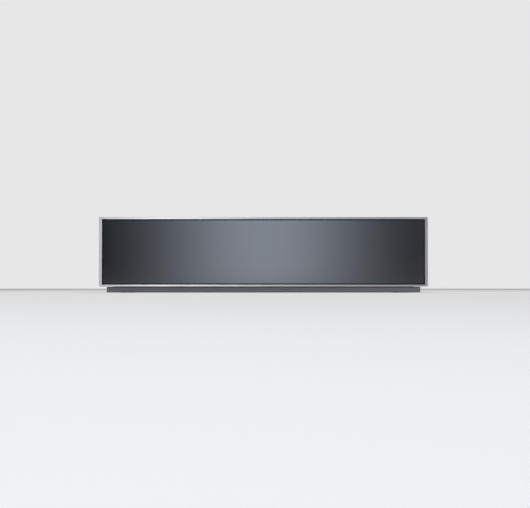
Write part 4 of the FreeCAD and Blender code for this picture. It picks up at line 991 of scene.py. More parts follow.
    def slab(self, low: Pair, high: Pair, corner: float) -> bmesh.types.BMFace:
        """Adds one flat face with round corners.

        Args:
            low: its lowest corner.
            high: its highest corner.
            corner: the radius of its corners.

        Returns:
            The face.
        """
        self.mark()
        bmesh.ops.create_grid(self.mesh, x_segments=1, y_segments=1, size=0.5)
        made = self.fresh()
        size = (high[0] - low[0], high[1] - low[1], 1.0)
        bmesh.ops.scale(self.mesh, vec=size, verts=made)
        bmesh.ops.translate(self.mesh, verts=made,
                            vec=((low[0] + high[0]) / 2, (low[1] + high[1]) / 2, 0))
        bmesh.ops.bevel(self.mesh, geom=made, offset=corner, offset_type="OFFSET",
                        segments=self.CORNER_STEPS, profile=0.5, affect="VERTICES",
                        material=-1)
        return self.fresh()[0].link_faces[0]

    def lift(self, faces: list[bmesh.types.BMFace], height: float, edge: float) -> None:
        """Gives flat faces a thickness, up Z, and softens their edges.

        Args:
            faces: the faces.
            height: the thickness.
            edge: the bevel of the edges, if any.
        """
        made = bmesh.ops.extrude_face_region(self.mesh, geom=faces)["geom"]
        raised = [part for part in made if isinstance(part, bmesh.types.BMVert)]
        bmesh.ops.translate(self.mesh, vec=(0, 0, height), verts=raised)
        if edge:
            self.soften(raised, edge)

    def panel(self, low: Pair, high: Pair, corner: float, foot: float, height: float,
              edge: float) -> None:
        """Adds a plate with round corners.

        Args:
            low: its lowest corner.
            high: its highest corner.
            corner: the radius of its corners.
            foot: the height that it lies at.
            height: its thickness.
            edge: the bevel of its upper edge.
        """
        self.lift([self.slab(low, high, corner)], height, edge)
        bmesh.ops.translate(self.mesh, vec=(0, 0, foot), verts=self.fresh())

    def rim(self, low: Pair, high: Pair, corner: float, width: float, height: float,
            foot: Triple, edge: float, axis: Axis = Axis.FRONT) -> None:
        """Adds a flat ring round a rectangle with round corners.

        Args:
            low: the lowest corner of its outline; along FRONT these are X and Z.
            high: the highest corner.
            corner: the radius of its outer corners.
            width: how wide the ring is.
            height: how thick it is.
            foot: where the origin of the outline goes.
            edge: the bevel of its upper edges, if any.
            axis: the way it faces.
        """
        face = self.slab(low, high, corner)
        ring = bmesh.ops.inset_individual(self.mesh, faces=[face], thickness=width)["faces"]
        bmesh.ops.delete(self.mesh, geom=[face], context="FACES_ONLY")
        self.lift(ring, height, edge)
        if axis is Axis.FRONT:
            bmesh.ops.rotate(self.mesh, cent=(0, 0, 0), verts=self.fresh(),
                             matrix=Matrix.Rotation(math.radians(90.0), 3, "X"))
        bmesh.ops.translate(self.mesh, vec=foot, verts=self.fresh())

    def grow(self, edges: list[bmesh.types.BMEdge], rise: float,
             share: float) -> list[bmesh.types.BMEdge]:
        """Extrudes a loop of edges up Z and widens it about the origin.

        Args:
            edges: the loop.
            rise: how far it goes up.
            share: how much wider it gets.

        Returns:
            The new loop.
        """
        made = bmesh.ops.extrude_edge_only(self.mesh, edges=edges)["geom"]
        corners = [part for part in made if isinstance(part, bmesh.types.BMVert)]
        bmesh.ops.scale(self.mesh, vec=(share, share, 1.0), verts=corners)
        bmesh.ops.translate(self.mesh, vec=(0, 0, rise), verts=corners)
        return [part for part in made if isinstance(part, bmesh.types.BMEdge)]

    def place(self, name: str, body: str, material: bpy.types.Material,
              slot: Slot) -> bpy.types.Object:
        """Turns the mesh into a piece that rides on a body.

        Args:
            name: the piece's name.
            body: the body that it moves with.
            material: its material.
            slot: the record's slot of that material. Not used.

        Returns:
            The piece.
        """
        bmesh.ops.scale(self.mesh, vec=(MM, MM, MM), verts=self.mesh.verts)
        bmesh.ops.remove_doubles(self.mesh, verts=self.mesh.verts, dist=self.DOUBLES)
        bmesh.ops.recalc_face_normals(self.mesh, faces=self.mesh.faces)
        data = bpy.data.meshes.new(name)
        self.mesh.to_mesh(data)
        self.mesh.free()
        data.shade_smooth()
        data.set_sharp_from_angle(angle=math.radians(self.SMOOTH_ANGLE))
        data.materials.append(material)
        piece = bpy.data.objects.new(name, data)
        bpy.context.collection.objects.link(piece)
        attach(piece, body)
        LOG.info("piece %s on %s, %d faces", name, body, len(data.polygons))
        return piece


@dataclass
class Assembly:
    """A group of pieces: the CAD nodes that it dresses and the pieces that it adds."""

    palette: Palette

    NODES = {}

    def build(self) -> None:
        """Dresses the nodes, then adds the pieces."""
        for node, slot in self.NODES.items():
            self.palette.dress(node, slot)
        self.add_pieces()

    def add_pieces(self) -> None:
        """Adds the assembly's own pieces."""
        raise NotImplementedError

    def put(self, form: Form, name: str, body: str, extra: Extra) -> None:
        """Places a form with one of the extra finishes.

        Args:
            form: the finished form.
            name: the piece's name.
            body: the body that it moves with.
            extra: its finish.
        """
        form.place(name, body, self.palette.extras[extra], extra.slot())

    def put_slot(self, form: Form, name: str, body: str, slot: Slot) -> bpy.types.Object:
        """Places a form with the finish of a slot.

        Args:
            form: the finished form.
            name: the piece's name.
            body: the body that it moves with.
            slot: the slot whose finish it gets.

        Returns:
            The piece.
        """
        return form.place(name, body, self.palette.slots[slot], slot)


@dataclass
class FrontPanel(Assembly):
    """Frame, glass and joint, the strip below and the carrier behind."""

    carrier_rear: float = -231.5
    rivet: Head = Head(2.6, 1.1)
    rivet_x: float = 286.0
    rivet_rows: Pair = (52.0, 95.0)

    NODES = {
        "front_frame": Slot.STAINLESS,
        "front_glass": Slot.FRONT_GLASS,
        "glass_joint": Slot.BLACK_JOINT,
        "front_carrier": Slot.ZINC,
        "front_buffers": Slot.BLACK_JOINT,
        "trim_strip": Slot.STRIP,
    }

    def add_pieces(self) -> None:
        """Adds the rivets on the back of the carrier."""
        form = Form()
        for side in (-1, 1):
            for z in self.rivet_rows:
                form.rivet((side * self.rivet_x, self.carrier_rear, z), Axis.Y, self.rivet)
        self.put(form, "carrier_rivets", "drawer", Extra.BRIGHT_SCREW)


@dataclass
class Housing(Assembly):
    """The sheet cradle in the cabinet, with its pads, latch and screws.

    A washer, a nut and the earth bolt are given by their radius, height and bevel.
    """

    wall: float = 276.0
    rear: float = 273.5
    sheet: float = 1.0
    latch_screw: Head = Head(2.2, 1.3)
    latch_front: float = 254.5
    latch_columns: Pair = (-11.0, 11.0)
    latch_rows: Pair = (64.0, 80.0)
    runner_rows: Pair = (-176.5, 193.5)
    runner_z: float = 58.0
    washer: tuple[float, ...] = (5.2, 0.8, 0.2)
    nut: tuple[float, ...] = (3.6, 2.6, 0.3)
    side_rivet: Head = Head(2.6, 1.1)
    foot_z: float = 8.5
    foot_rivets: tuple[float, ...] = (-190.0, -95.0, 0.0, 95.0, 190.0)
    corner_y: float = 262.0
    corner_rivets: Triple = (42.0, 74.0, 118.0)
    bead_rows: Pair = (26.0, 88.0)
    bead_ends: Pair = (-205.0, 235.0)
    bead_half: float = 5.0
    bead_height: float = 1.4
    bead_edge: float = 1.3
    rear_rivet: Head = Head(2.6, 1.0)
    rear_foot_rivets: tuple[float, ...] = (-255.0, -110.0, -40.0, 40.0, 110.0, 255.0)
    rear_top_rivets: tuple[float, ...] = (-225.0, -75.0, 75.0, 225.0)
    rear_top_z: float = 129.5
    cord_hole_low: Pair = (-217.0, 60.0)
    cord_hole_high: Pair = (-143.0, 108.0)
    edging_lap: float = 2.5
    edging_corner: float = 4.0
    edging_width: float = 3.0
    edging_height: float = 2.4
    edging_proud: float = 0.7
    edging_edge: float = 0.5
    earth: Pair = (-240.0, 84.0)
    earth_washer: tuple[float, ...] = (4.6, 0.8, 0.15)
    earth_nut: tuple[float, ...] = (3.5, 2.4, 0.3)
    earth_bolt: tuple[float, ...] = (1.9, 5.0, 0.4)

    NODES = {
        "housing_base": Slot.ZINC,
        "housing_side_left": Slot.ZINC,
        "housing_side_right": Slot.ZINC,
        "housing_rear": Slot.ZINC,
        "rear_brace": Slot.ZINC,
        "front_rail": Slot.ZINC,
        "base_pads": Slot.PAD,
        "push_latch": Slot.LATCH,
        "ejector_plunger": Slot.LATCH,
    }

    def add_pieces(self) -> None:
        """Adds the screws of the latch and the details of the sides and the rear."""
        form = Form()
        for x in self.latch_columns:
            for z in self.latch_rows:
                form.screw((x, self.latch_front, z), Axis.FRONT, self.latch_screw)
        self.put(form, "latch_screws", "housing", Extra.ZINC_SCREW)
        self.side_details()
        self.rear_details()

    def side_details(self) -> None:
        """Adds the pressed beads, the rivets and the runners' nuts on both sides."""
        beads, rivets, nuts = Form(), Form(), Form()
        start, end = self.bead_ends
        for side, axis in ((-1, Axis.LEFT), (1, Axis.X)):
            wall = side * self.wall
            for z in self.bead_rows:
                low, high = sorted((wall, wall + side * self.bead_height))
                beads.block((low, start, z - self.bead_half), (high, end, z + self.bead_half),
                            self.bead_edge, steps=3)
            for y in self.foot_rivets:
                rivets.rivet((wall, y, self.foot_z), axis, self.side_rivet)
            for z in self.corner_rivets:
                rivets.rivet((wall, self.corner_y, z), axis, self.side_rivet)
            for y in self.runner_rows:
                nuts.drum((wall, y, self.runner_z), axis, *self.washer)
                nuts.drum((wall + side * self.washer[1], y, self.runner_z), axis, *self.nut,
                          sides=6)
        self.put_slot(beads, "side_beads", "housing", Slot.ZINC)
        self.put(rivets, "side_rivets", "housing", Extra.BRIGHT_SCREW)
        self.put(nuts, "runner_nuts", "housing", Extra.ZINC_SCREW)

    def rear_details(self) -> None:
        """Adds the rivets, the edging of the cord's way out and the earth stud."""
        rivets = Form()
        for x in self.rear_foot_rivets:
            rivets.rivet((x, self.rear, self.foot_z), Axis.Y, self.rear_rivet)
        for x in self.rear_top_rivets:
            rivets.rivet((x, self.rear, self.rear_top_z), Axis.Y, self.rear_rivet)
        self.put(rivets, "rear_rivets", "housing", Extra.BRIGHT_SCREW)
        edging = Form()
        edging.rim(tuple(edge - self.edging_lap for edge in self.cord_hole_low),
                   tuple(edge + self.edging_lap for edge in self.cord_hole_high),
                   self.edging_corner, self.edging_width, self.edging_height,
                   (0.0, self.rear + self.edging_proud, 0.0), self.edging_edge)
        self.put(edging, "cord_hole_edging", "housing", Extra.BLACK_PLASTIC)
        earth = Form()
        x, z = self.earth
        seat = self.rear - self.sheet
        earth.drum((x, seat, z), Axis.FRONT, *self.earth_washer)
        seat -= self.earth_washer[1]
        earth.drum((x, seat, z), Axis.FRONT, *self.earth_nut, sides=6)
        seat -= self.earth_nut[1]
        earth.drum((x, seat, z), Axis.FRONT, *self.earth_bolt)
        self.put(earth, "earth_stud", "housing", Extra.GOLD)


@dataclass
class Runners(Assembly):
    """Both three-member runners with their roller cages and screws."""

    outer_web: float = 273.8
    inner_web: float = 263.2
    centre: float = 58.0
    outer_screw: Head = Head(3.6, 0.7)
    outer_screws: Pair = (-176.5, 193.5)
    inner_screw: Head = Head(3.2, 0.7)
    inner_screws: Pair = (-176.5, 181.5)

    NODES = {
        **{f"runner_{kind}_{side}": Slot.RUNNER for kind in ("outer", "middle", "inner")
           for side in ("left", "right")},
        **{f"{kind}_cage_{side}": Slot.CAGE for kind in ("outer", "inner")
           for side in ("left", "right")},
    }

    def add_pieces(self) -> None:
        """Adds the flat heads in the members' slots."""
        outer = Form()
        inner = Form()
        for side, inwards, outwards in ((-1, Axis.X, Axis.LEFT), (1, Axis.LEFT, Axis.X)):
            for y in self.outer_screws:
                outer.screw((side * self.outer_web, y, self.centre), inwards, self.outer_screw)
            for y in self.inner_screws:
                inner.screw((side * self.inner_web, y, self.centre), outwards, self.inner_screw)
        self.put(outer, "outer_runner_screws", "housing", Extra.BRIGHT_SCREW)
        self.put(inner, "inner_runner_screws", "drawer", Extra.BRIGHT_SCREW)


@dataclass
class DrawerBody(Assembly):
    """The drawer's sheet body and its deck, with the cover over the electrics."""

    deck_top: float = 108.0
    screw: Head = Head(3.0, 1.4)
    edge_x: float = 258.0
    side_rows: Triple = (-205.0, 0.0, 220.0)
    rear_y: float = 238.0
    rear_columns: Triple = (-120.0, 0.0, 120.0)
    cover: tuple[float, ...] = (-238.0, -20.0, 132.0, 228.0)
    cover_corner: float = 8.0
    cover_height: float = 1.0
    cover_edge: float = 0.4
    field_inset: float = 14.0
    field_corner: float = 6.0
    field_height: float = 1.2
    field_edge: float = 1.1
    fixing: Head = Head(2.6, 1.2)
    fixing_inset: float = 7.0
    ribs: tuple[float, ...] = (150.0, 160.0, 170.0, 180.0, 190.0, 200.0)
    rib_ends: Pair = (150.0, 236.0)
    rib_half: float = 2.0
    rib_height: float = 1.6
    rib_edge: float = 1.5

    NODES = {
        "drawer_base": Slot.ZINC,
        "drawer_side_left": Slot.ZINC,
        "drawer_side_right": Slot.ZINC,
        "drawer_rear": Slot.ZINC,
        "deck_plate": Slot.DECK,
    }

    def add_pieces(self) -> None:
        """Adds the deck's screws, its pressed ribs and the service cover."""
        screws = Form()
        places = [(side * self.edge_x, y) for side in (-1, 1) for y in self.side_rows]
        places += [(x, self.rear_y) for x in self.rear_columns]
        for x, y in places:
            screws.screw((x, y, self.deck_top), Axis.Z, self.screw)
        self.put(screws, "deck_screws", "drawer", Extra.BRIGHT_SCREW)
        self.service_cover()
        ribs = Form()
        start, end = self.rib_ends
        for y in self.ribs:
            ribs.block((start, y - self.rib_half, self.deck_top),
                       (end, y + self.rib_half, self.deck_top + self.rib_height),
                       self.rib_edge, steps=3)
        self.put_slot(ribs, "deck_ribs", "drawer", Slot.DECK)

    def service_cover(self) -> None:
        """Adds the cover with its raised field and its screws."""
        left, right, front, rear = self.cover
        top = self.deck_top + self.cover_height
        cover = Form()
        cover.panel((left, front), (right, rear), self.cover_corner, self.deck_top,
                    self.cover_height, self.cover_edge)
        inset = self.field_inset
        cover.panel((left + inset, front + inset), (right - inset, rear - inset),
                    self.field_corner, top, self.field_height, self.field_edge)
        self.put_slot(cover, "service_cover", "drawer", Slot.DECK)
        fixings = Form()
        inset = self.fixing_inset
        for x in (left + inset, (left + right) / 2, right - inset):
            for y in (front + inset, rear - inset):
                fixings.screw((x, y, top), Axis.Z, self.fixing)
        self.put(fixings, "service_cover_screws", "drawer", Extra.BRIGHT_SCREW)


@dataclass
class Chamber(Assembly):
    """Vacuum chamber with the plate on its floor, its outlet and the sealing bar."""

    outlet: Triple = (54.6, 82.5, 45.5)
    cap_radius: float = 9.0
    cap_depth: float = 3.2
    cap_edge: float = 0.9
    cap_shoulder: float = 0.6
    dimple: Pair = (3.0, 2.6)
    holes: int = 8
    hole_circle: float = 5.8
    hole_radius: float = 1.0
    hole_depth: float = 0.4
    hole_sunk: float = 0.35
    hole_edge: float = 0.1
    plate_top: float = 27.5
    rib_places: tuple[float, ...] = (-150.0, -130.0, -110.0, -90.0, -70.0, -50.0, -30.0,
                                     -10.0, 10.0, 20.0)
    rib_ends: Pair = (-146.0, 50.0)
    rib_half: float = 1.5
    rib_height: float = 0.5
    rib_edge: float = 0.4
    clamp_places: Pair = (-222.0, 92.0)
    clamp_half: float = 2.6
    clamp_ends: Pair = (-184.5, -174.5)
    clamp_levels: Pair = (99.9, 100.4)
    clamp_edge: float = 0.15

    NODES = {
        "chamber_tub": Slot.CHAMBER,
        "chamber_insert": Slot.INSERT,
        "lift_cylinders": Slot.BAR,
        "sealing_bar": Slot.BAR,
        "heating_band": Slot.BAND,
        "chamber_outlet": Slot.VALVE,
    }

    def add_pieces(self) -> None:
        """Adds the outlet's strainer, the plate's ribs and the clamps of the band."""
        self.strainer()
        ribs = Form()
        start, end = self.rib_ends
        for x in self.rib_places:
            ribs.block((x - self.rib_half, start, self.plate_top),
                       (x + self.rib_half, end, self.plate_top + self.rib_height),
                       self.rib_edge)
        self.put_slot(ribs, "insert_ribs", "drawer", Slot.INSERT)
        clamps = Form()
        front, rear = self.clamp_ends
        low, high = self.clamp_levels
        for x in self.clamp_places:
            clamps.block((x - self.clamp_half, front, low), (x + self.clamp_half, rear, high),
                         self.clamp_edge)
        self.put(clamps, "band_clamps", "sealing_bar", Extra.GOLD)

    def strainer(self) -> None:
        """Adds the cap over the outlet, dimpled in its middle, and its holes."""
        form = Form()
        radius, depth = self.cap_radius, self.cap_depth
        dimple_rim, dimple_floor = self.dimple
        floor = depth - self.cap_edge
        form.turned(
            [(0, 0), (radius, 0), (radius, depth * self.cap_shoulder),
             (radius - self.cap_edge, depth), (dimple_rim, depth), (dimple_floor, floor),
             (0, floor)],
            self.outlet, Axis.FRONT,
        )
        self.put_slot(form, "outlet_strainer", "drawer", Slot.CHAMBER)
        holes = Form()
        x, y, z = self.outlet
        for i in range(self.holes):
            angle = math.tau * i / self.holes
            foot = (x + self.hole_circle * math.cos(angle), y - depth + self.hole_sunk,
                    z + self.hole_circle * math.sin(angle))
            holes.drum(foot, Axis.FRONT, self.hole_radius, self.hole_depth, self.hole_edge,
                       sides=16)
        self.put(holes, "strainer_holes", "drawer", Extra.BLACK_PLASTIC)


@dataclass
class Lid(Assembly):
    """Glass lid with its seal and bar, and the hinges behind it."""

    hinges: Pair = (-200.0, 70.0)
    axis_y: float = 114.5
    axis_z: float = 118.8
    screw_shift: float = 5.5
    plate_screw: Head = Head(2.6, 1.3, Drive.HEX)
    plate_y: float = 100.0
    plate_top: float = 125.8
    foot_screw: Head = Head(2.4, 1.4)
    foot_y: float = 124.0
    foot_top: float = 111.0
    sleeve_radii: Triple = (6.0, 6.5, 6.8)
    sleeve_ends: Pair = (10.2, 10.5)
    cap_x: float = 16.0
    cap: tuple[Pair, ...] = ((0.0, 0.0), (4.2, 0.0), (4.2, 0.6), (3.6, 1.3), (0.0, 1.5))
    seal_low: Pair = (-251.0, -213.5)
    seal_high: Pair = (121.0, 93.5)
    seal_foot: float = 110.6
    seal_corner: float = 39.0
    rib_insets: Pair = (0.0, 2.2)
    rib_width: float = 1.0
    rib_height: float = 1.2
    rib_edge: float = 0.3

    NODES = {
        "lid_glass": Slot.LID_GLASS,
        "lid_seal": Slot.SEAL,
        "counter_bar": Slot.COUNTER,
        "hinge_brackets": Slot.HINGE,
        "hinge_arms": Slot.HINGE,
        "hinge_pins": Slot.HINGE,
    }

    def add_pieces(self) -> None:
        """Adds the screws, sleeves and caps of the hinges and the ribs of the seal."""
        arms = Form()
        feet = Form()
        sleeves = Form()
        caps = Form()
        for x in self.hinges:
            for shift in (-self.screw_shift, self.screw_shift):
                arms.screw((x + shift, self.plate_y, self.plate_top), Axis.Z,
                           self.plate_screw)
                feet.screw((x + shift, self.foot_y, self.foot_top), Axis.Z, self.foot_screw)
            self.sleeve(sleeves, (x, self.axis_y, self.axis_z))
            for side, axis in ((-1, Axis.LEFT), (1, Axis.X)):
                seat = (x + side * self.cap_x, self.axis_y, self.axis_z)
                caps.turned(list(self.cap), seat, axis, sides=28)
        self.put(arms, "lid_screws", "lid", Extra.BLACK_SCREW)
        self.put(feet, "hinge_screws", "drawer", Extra.BRIGHT_SCREW)
        self.put_slot(sleeves, "hinge_sleeves", "lid", Slot.HINGE)
        self.put(caps, "hinge_caps", "drawer", Extra.BRIGHT_SCREW)
        self.seal_ribs()

    def sleeve(self, form: Form, centre: Triple) -> None:
        """Adds the round sleeve over one arm's knuckle.

        Args:
            form: the form that it joins.
            centre: its middle, on the hinge's axis.
        """
        bore, rim, wall = self.sleeve_radii
        bend, end = self.sleeve_ends
        form.turned([(bore, -end), (rim, -end), (wall, -bend), (wall, bend), (rim, end),
                     (bore, end), (bore, -end)], centre, Axis.X, sides=40)

    def seal_ribs(self) -> None:
        """Adds two ribs under the seal, the inner one set higher."""
        ribs = Form()
        for inset in self.rib_insets:
            ribs.rim(tuple(edge + inset for edge in self.seal_low),
                     tuple(edge - inset for edge in self.seal_high),
                     self.seal_corner - inset, self.rib_width, self.rib_height,
                     (0.0, 0.0, self.seal_foot + inset / 2), self.rib_edge, Axis.Z)
        self.put_slot(ribs, "seal_ribs", "lid", Slot.SEAL)


@dataclass
class Controls(Assembly):
    """Touch panel beside the chamber, with plain symbols."""

    centre_x: float = 189.0
    top: float = 112.0
    ink: float = 0.08
    stroke: float = 1.0
    power_y: float = -186.0
    level_y: float = -128.0
    heat_y: float = -66.0
    start_y: float = -4.0
    stop_y: float = 50.0
    ring_radius: float = 7.5
    power_radius: float = 6.0
    power_arc: Pair = (115.0, 310.0)
    arc_step: float = 9.0
    level_lengths: Triple = (4.0, 8.0, 12.0)
    level_pitch: float = 5.0
    level_width: float = 2.4
    heat_length: float = 15.0
    heat_lines: tuple[Pair, ...] = ((0.0, 1.8), (-4.5, 0.7), (4.5, 0.7))
    start_radius: float = 3.6
    stop_side: float = 4.6
    lamp: tuple[Pair, ...] = ((0.0, 0.5), (0.7, 0.42), (1.2, 0.2), (1.3, 0.0), (0.0, 0.0))
    lamp_rows: Pair = (-106.0, -44.0)
    lamp_pitch: float = 8.0
    border_low: Pair = (135.0, -211.5)
    border_high: Pair = (243.0, 91.5)
    border_corner: float = 4.0
    border_width: float = 0.5

    NODES = {"control_glass": Slot.CONTROL_GLASS, "control_board": Slot.BOARD}

    def add_pieces(self) -> None:
        """Adds the symbols, the lamps beside them and the line round them."""
        form = Form()
        self.power(form)
        self.level(form)
        self.heat(form)
        self.start(form)
        self.stop(form)
        self.put(form, "touch_symbols", "drawer", Extra.INK)
        lamps = Form()
        for y in self.lamp_rows:
            for place in (-1, 0, 1):
                x = self.centre_x + place * self.lamp_pitch
                lamps.turned(list(self.lamp), (x, y, self.top), Axis.Z, sides=20)
        self.put(lamps, "touch_lamps", "drawer", Extra.LAMP)
        line = Form()
        line.rim(self.border_low, self.border_high, self.border_corner, self.border_width,
                 self.ink, (0.0, 0.0, self.top), 0.0, Axis.Z)
        self.put(line, "touch_border", "drawer", Extra.INK)

    def bar(self, form: Form, x: float, y: float, width: float, length: float) -> None:
        """Adds one printed bar.

        Args:
            form: the form that it joins.
            x: its middle, from the panel's middle.
            y: its middle.
            width: its size along X.
            length: its size along Y.
        """
        x += self.centre_x
        form.block((x - width / 2, y - length / 2, self.top),
                   (x + width / 2, y + length / 2, self.top + self.ink))

    def arc(self, form: Form, y: float, radius: float, start: float, sweep: float) -> None:
        """Adds a printed arc.

        Args:
            form: the form that it joins.
            y: its middle.
            radius: its radius.
            start: where it begins, in degrees from X.
            sweep: how far it goes, in degrees.
        """
        form.mark()
        half = self.stroke / 2
        corners = [
            form.mesh.verts.new((radius + side * half, 0, level))
            for side, level in ((-1, 0), (1, 0), (1, self.ink), (-1, self.ink))
        ]
        face = form.mesh.faces.new(corners)
        bmesh.ops.rotate(form.mesh, cent=(0, 0, 0), verts=corners,
                         matrix=Matrix.Rotation(math.radians(start), 3, "Z"))
        bmesh.ops.spin(form.mesh, geom=[face], cent=(0, 0, 0), axis=(0, 0, 1),
                       angle=math.radians(sweep), steps=int(sweep / self.arc_step))
        bmesh.ops.translate(form.mesh, vec=(self.centre_x, y, self.top), verts=form.fresh())

    def ring(self, form: Form, y: float) -> None:
        """Adds a printed ring.

        Args:
            form: the form that it joins.
            y: its middle.
        """
        inner = self.ring_radius - self.stroke / 2
        outer = self.ring_radius + self.stroke / 2
        form.turned([(inner, 0), (outer, 0), (outer, self.ink), (inner, self.ink), (inner, 0)],
                    (self.centre_x, y, self.top), Axis.Z, sides=40)

    def power(self, form: Form) -> None:
        """Adds the sign for on and off: an open ring and a bar.

        Args:
            form: the form that it joins.
        """
        self.arc(form, self.power_y, self.power_radius, *self.power_arc)
        middle = self.power_y + self.power_radius - self.stroke
        self.bar(form, 0.0, middle, self.stroke, self.power_radius)

    def level(self, form: Form) -> None:
        """Adds three rising bars for the vacuum.

        Args:
            form: the form that it joins.
        """
        foot = self.level_y - self.level_lengths[-1] / 2
        for place, length in zip((-1, 0, 1), self.level_lengths):
            self.bar(form, place * self.level_pitch, foot + length / 2, self.level_width,
                     length)

    def heat(self, form: Form) -> None:
        """Adds the sign for the weld: a line between two others.

        Args:
            form: the form that it joins.
        """
        for shift, width in self.heat_lines:
            self.bar(form, 0.0, self.heat_y + shift, self.heat_length, width)

    def start(self, form: Form) -> None:
        """Adds a ring with a triangle for the start.

        Args:
            form: the form that it joins.
        """
        self.ring(form, self.start_y)
        form.mark()
        bmesh.ops.create_cone(form.mesh, cap_ends=True, cap_tris=False, segments=3,
                              radius1=self.start_radius, radius2=self.start_radius,
                              depth=self.ink)
        bmesh.ops.translate(form.mesh, verts=form.fresh(),
                            vec=(self.centre_x, self.start_y, self.top + self.ink / 2))

    def stop(self, form: Form) -> None:
        """Adds a ring with a square for the stop.

        Args:
            form: the form that it joins.
        """
        self.ring(form, self.stop_y)
        self.bar(form, 0.0, self.stop_y, self.stop_side, self.stop_side)


@dataclass
class PumpSet(Assembly):
    """Pump and motor on their mounts."""

    x: float = 192.8
    shaft: float = 60.2
    front: float = -203.5
    motor_rear: float = 14.5
    cover_screw: Head = Head(2.8, 2.4, Drive.HEX)
    cover_circle: float = 27.5
    boss: tuple[Pair, ...] = (
        (0.0, 0.0), (20.0, 0.0), (20.0, 1.2), (18.6, 2.0), (12.0, 2.0), (11.0, 1.0),
        (4.6, 1.0), (4.2, 2.6), (0.0, 2.8),
    )
    end_cap: tuple[Pair, ...] = (
        (0.0, 0.0), (31.0, 0.0), (31.0, 0.6), (29.5, 1.6), (15.0, 1.6), (13.5, 3.4),
        (6.0, 3.4), (5.4, 2.4), (0.0, 2.4),
    )
    tie_screw: Head = Head(2.4, 2.0, Drive.SLOT)
    tie_circle: float = 24.0
    tie_seat: float = 1.6

    NODES = {
        "vacuum_pump": Slot.PUMP,
        "pump_motor": Slot.MOTOR,
        "pump_mounts": Slot.MOUNT,
    }

    def add_pieces(self) -> None:
        """Adds the cover's screws and boss, the motor's end cap and its tie screws."""
        cover = Form()
        for x, z in self.circle(self.cover_circle, 6, 0.0):
            cover.screw((x, self.front, z), Axis.FRONT, self.cover_screw)
        self.put(cover, "pump_cover_screws", "drawer", Extra.BLACK_SCREW)
        boss = Form()
        boss.turned(list(self.boss), (self.x, self.front, self.shaft), Axis.FRONT, sides=48)
        self.put_slot(boss, "pump_cover_boss", "drawer", Slot.PUMP)
        cap = Form()
        cap.turned(list(self.end_cap), (self.x, self.motor_rear, self.shaft), Axis.Y, sides=48)
        self.put_slot(cap, "motor_end_cap", "drawer", Slot.MOTOR)
        ties = Form()
        for x, z in self.circle(self.tie_circle, 4, 0.5):
            ties.screw((x, self.motor_rear + self.tie_seat, z), Axis.Y, self.tie_screw)
        self.put(ties, "motor_tie_screws", "drawer", Extra.BRIGHT_SCREW)

    def circle(self, radius: float, count: int, start: float) -> list[Pair]:
        """Even places on a circle about the shaft.

        Args:
            radius: the circle's radius.
            count: how many places.
            start: where the first one is, in steps from X.

        Returns:
            X and Z of each place.
        """
        turns = [math.tau * (i + start) / count for i in range(count)]
        return [(self.x + radius * math.cos(a), self.shaft + radius * math.sin(a))
                for a in turns]


@dataclass
class Fan(Assembly):
    """Cooling fan at the drawer's rear, whose wheel has twisted blades."""

    x: float = 192.8
    z: float = 60.2
    front: float = 218.3
    screw: Head = Head(2.6, 1.6)
    screw_half: float = 35.75
    hub_front: float = 222.7
    hub_rear: float = 238.7
    hub_radius: float = 16.0
    hub_wall: float = 1.2
    hub_edge: float = 1.5
    hub_floor: float = 3.0
    shaft_radius: float = 1.4
    tip_radius: float = 36.2
    blades: int = 7
    blade_rows: int = 6
    blade_columns: int = 4
    blade_root: float = 1.0
    blade_wall: float = 1.2
    chord: float = 13.6
    twist: Pair = (52.0, 26.0)

    NODES = {"fan_frame": Slot.FAN, "fan_rotor": Slot.FAN}

    def add_pieces(self) -> None:
        """Adds the screws in the frame's corners and the wheel."""
        form = Form()
        for sx in (-1, 1):
            for sz in (-1, 1):
                seat = (self.x + sx * self.screw_half, self.front,
                        self.z + sz * self.screw_half)
                form.screw(seat, Axis.FRONT, self.screw)
        self.put(form, "fan_screws", "drawer", Extra.BLACK_SCREW)
        wheel = Form()
        self.hub(wheel)
        for i in range(self.blades):
            self.blade(wheel, 360.0 * i / self.blades)
        piece = self.put_slot(wheel, "fan_wheel", "fan", Slot.FAN)
        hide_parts("fan_rotor")

    def hub(self, form: Form) -> None:
        """Adds the cupped hub with its shaft.

        Args:
            form: the wheel that it joins.
        """
        depth = self.hub_rear - self.hub_front
        radius = self.hub_radius
        bore = radius - self.hub_wall
        floor = depth - self.hub_floor
        shaft = self.shaft_radius
        form.turned(
            [(0, 0), (shaft, 0), (shaft, floor), (bore, floor), (bore, 0), (radius, 0),
             (radius, depth - self.hub_edge), (radius - self.hub_edge, depth), (0, depth)],
            (self.x, self.hub_rear, self.z), Axis.FRONT, sides=48,
        )

    def blade(self, form: Form, angle: float) -> None:
        """Adds one blade that turns flatter towards its tip.

        Args:
            form: the wheel that it joins.
            angle: its place round the hub, in degrees.
        """
        form.mark()
        bmesh.ops.create_grid(form.mesh, x_segments=self.blade_columns,
                              y_segments=self.blade_rows, size=0.5)
        sheet = form.fresh()
        root = self.hub_radius - self.blade_root
        reach = self.tip_radius - root
        bmesh.ops.scale(form.mesh, vec=(self.chord, reach, 1.0), verts=sheet)
        bmesh.ops.translate(form.mesh, vec=(0, root + reach / 2, 0), verts=sheet)
        for corner in sheet:
            share = (corner.co.y - root) / reach
            turn = self.twist[0] + (self.twist[1] - self.twist[0]) * share
            bmesh.ops.rotate(form.mesh, cent=(0, corner.co.y, 0), verts=[corner],
                             matrix=Matrix.Rotation(math.radians(turn), 3, "Y"))
        faces = list({face for corner in sheet for face in corner.link_faces})
        bmesh.ops.solidify(form.mesh, geom=faces, thickness=self.blade_wall)
        bmesh.ops.rotate(form.mesh, cent=(0, 0, 0), verts=form.fresh(),
                         matrix=Matrix.Rotation(math.radians(angle), 3, "Z"))
        middle = (self.hub_front + self.hub_rear) / 2
        form.stand((self.x, middle, self.z), Axis.FRONT)


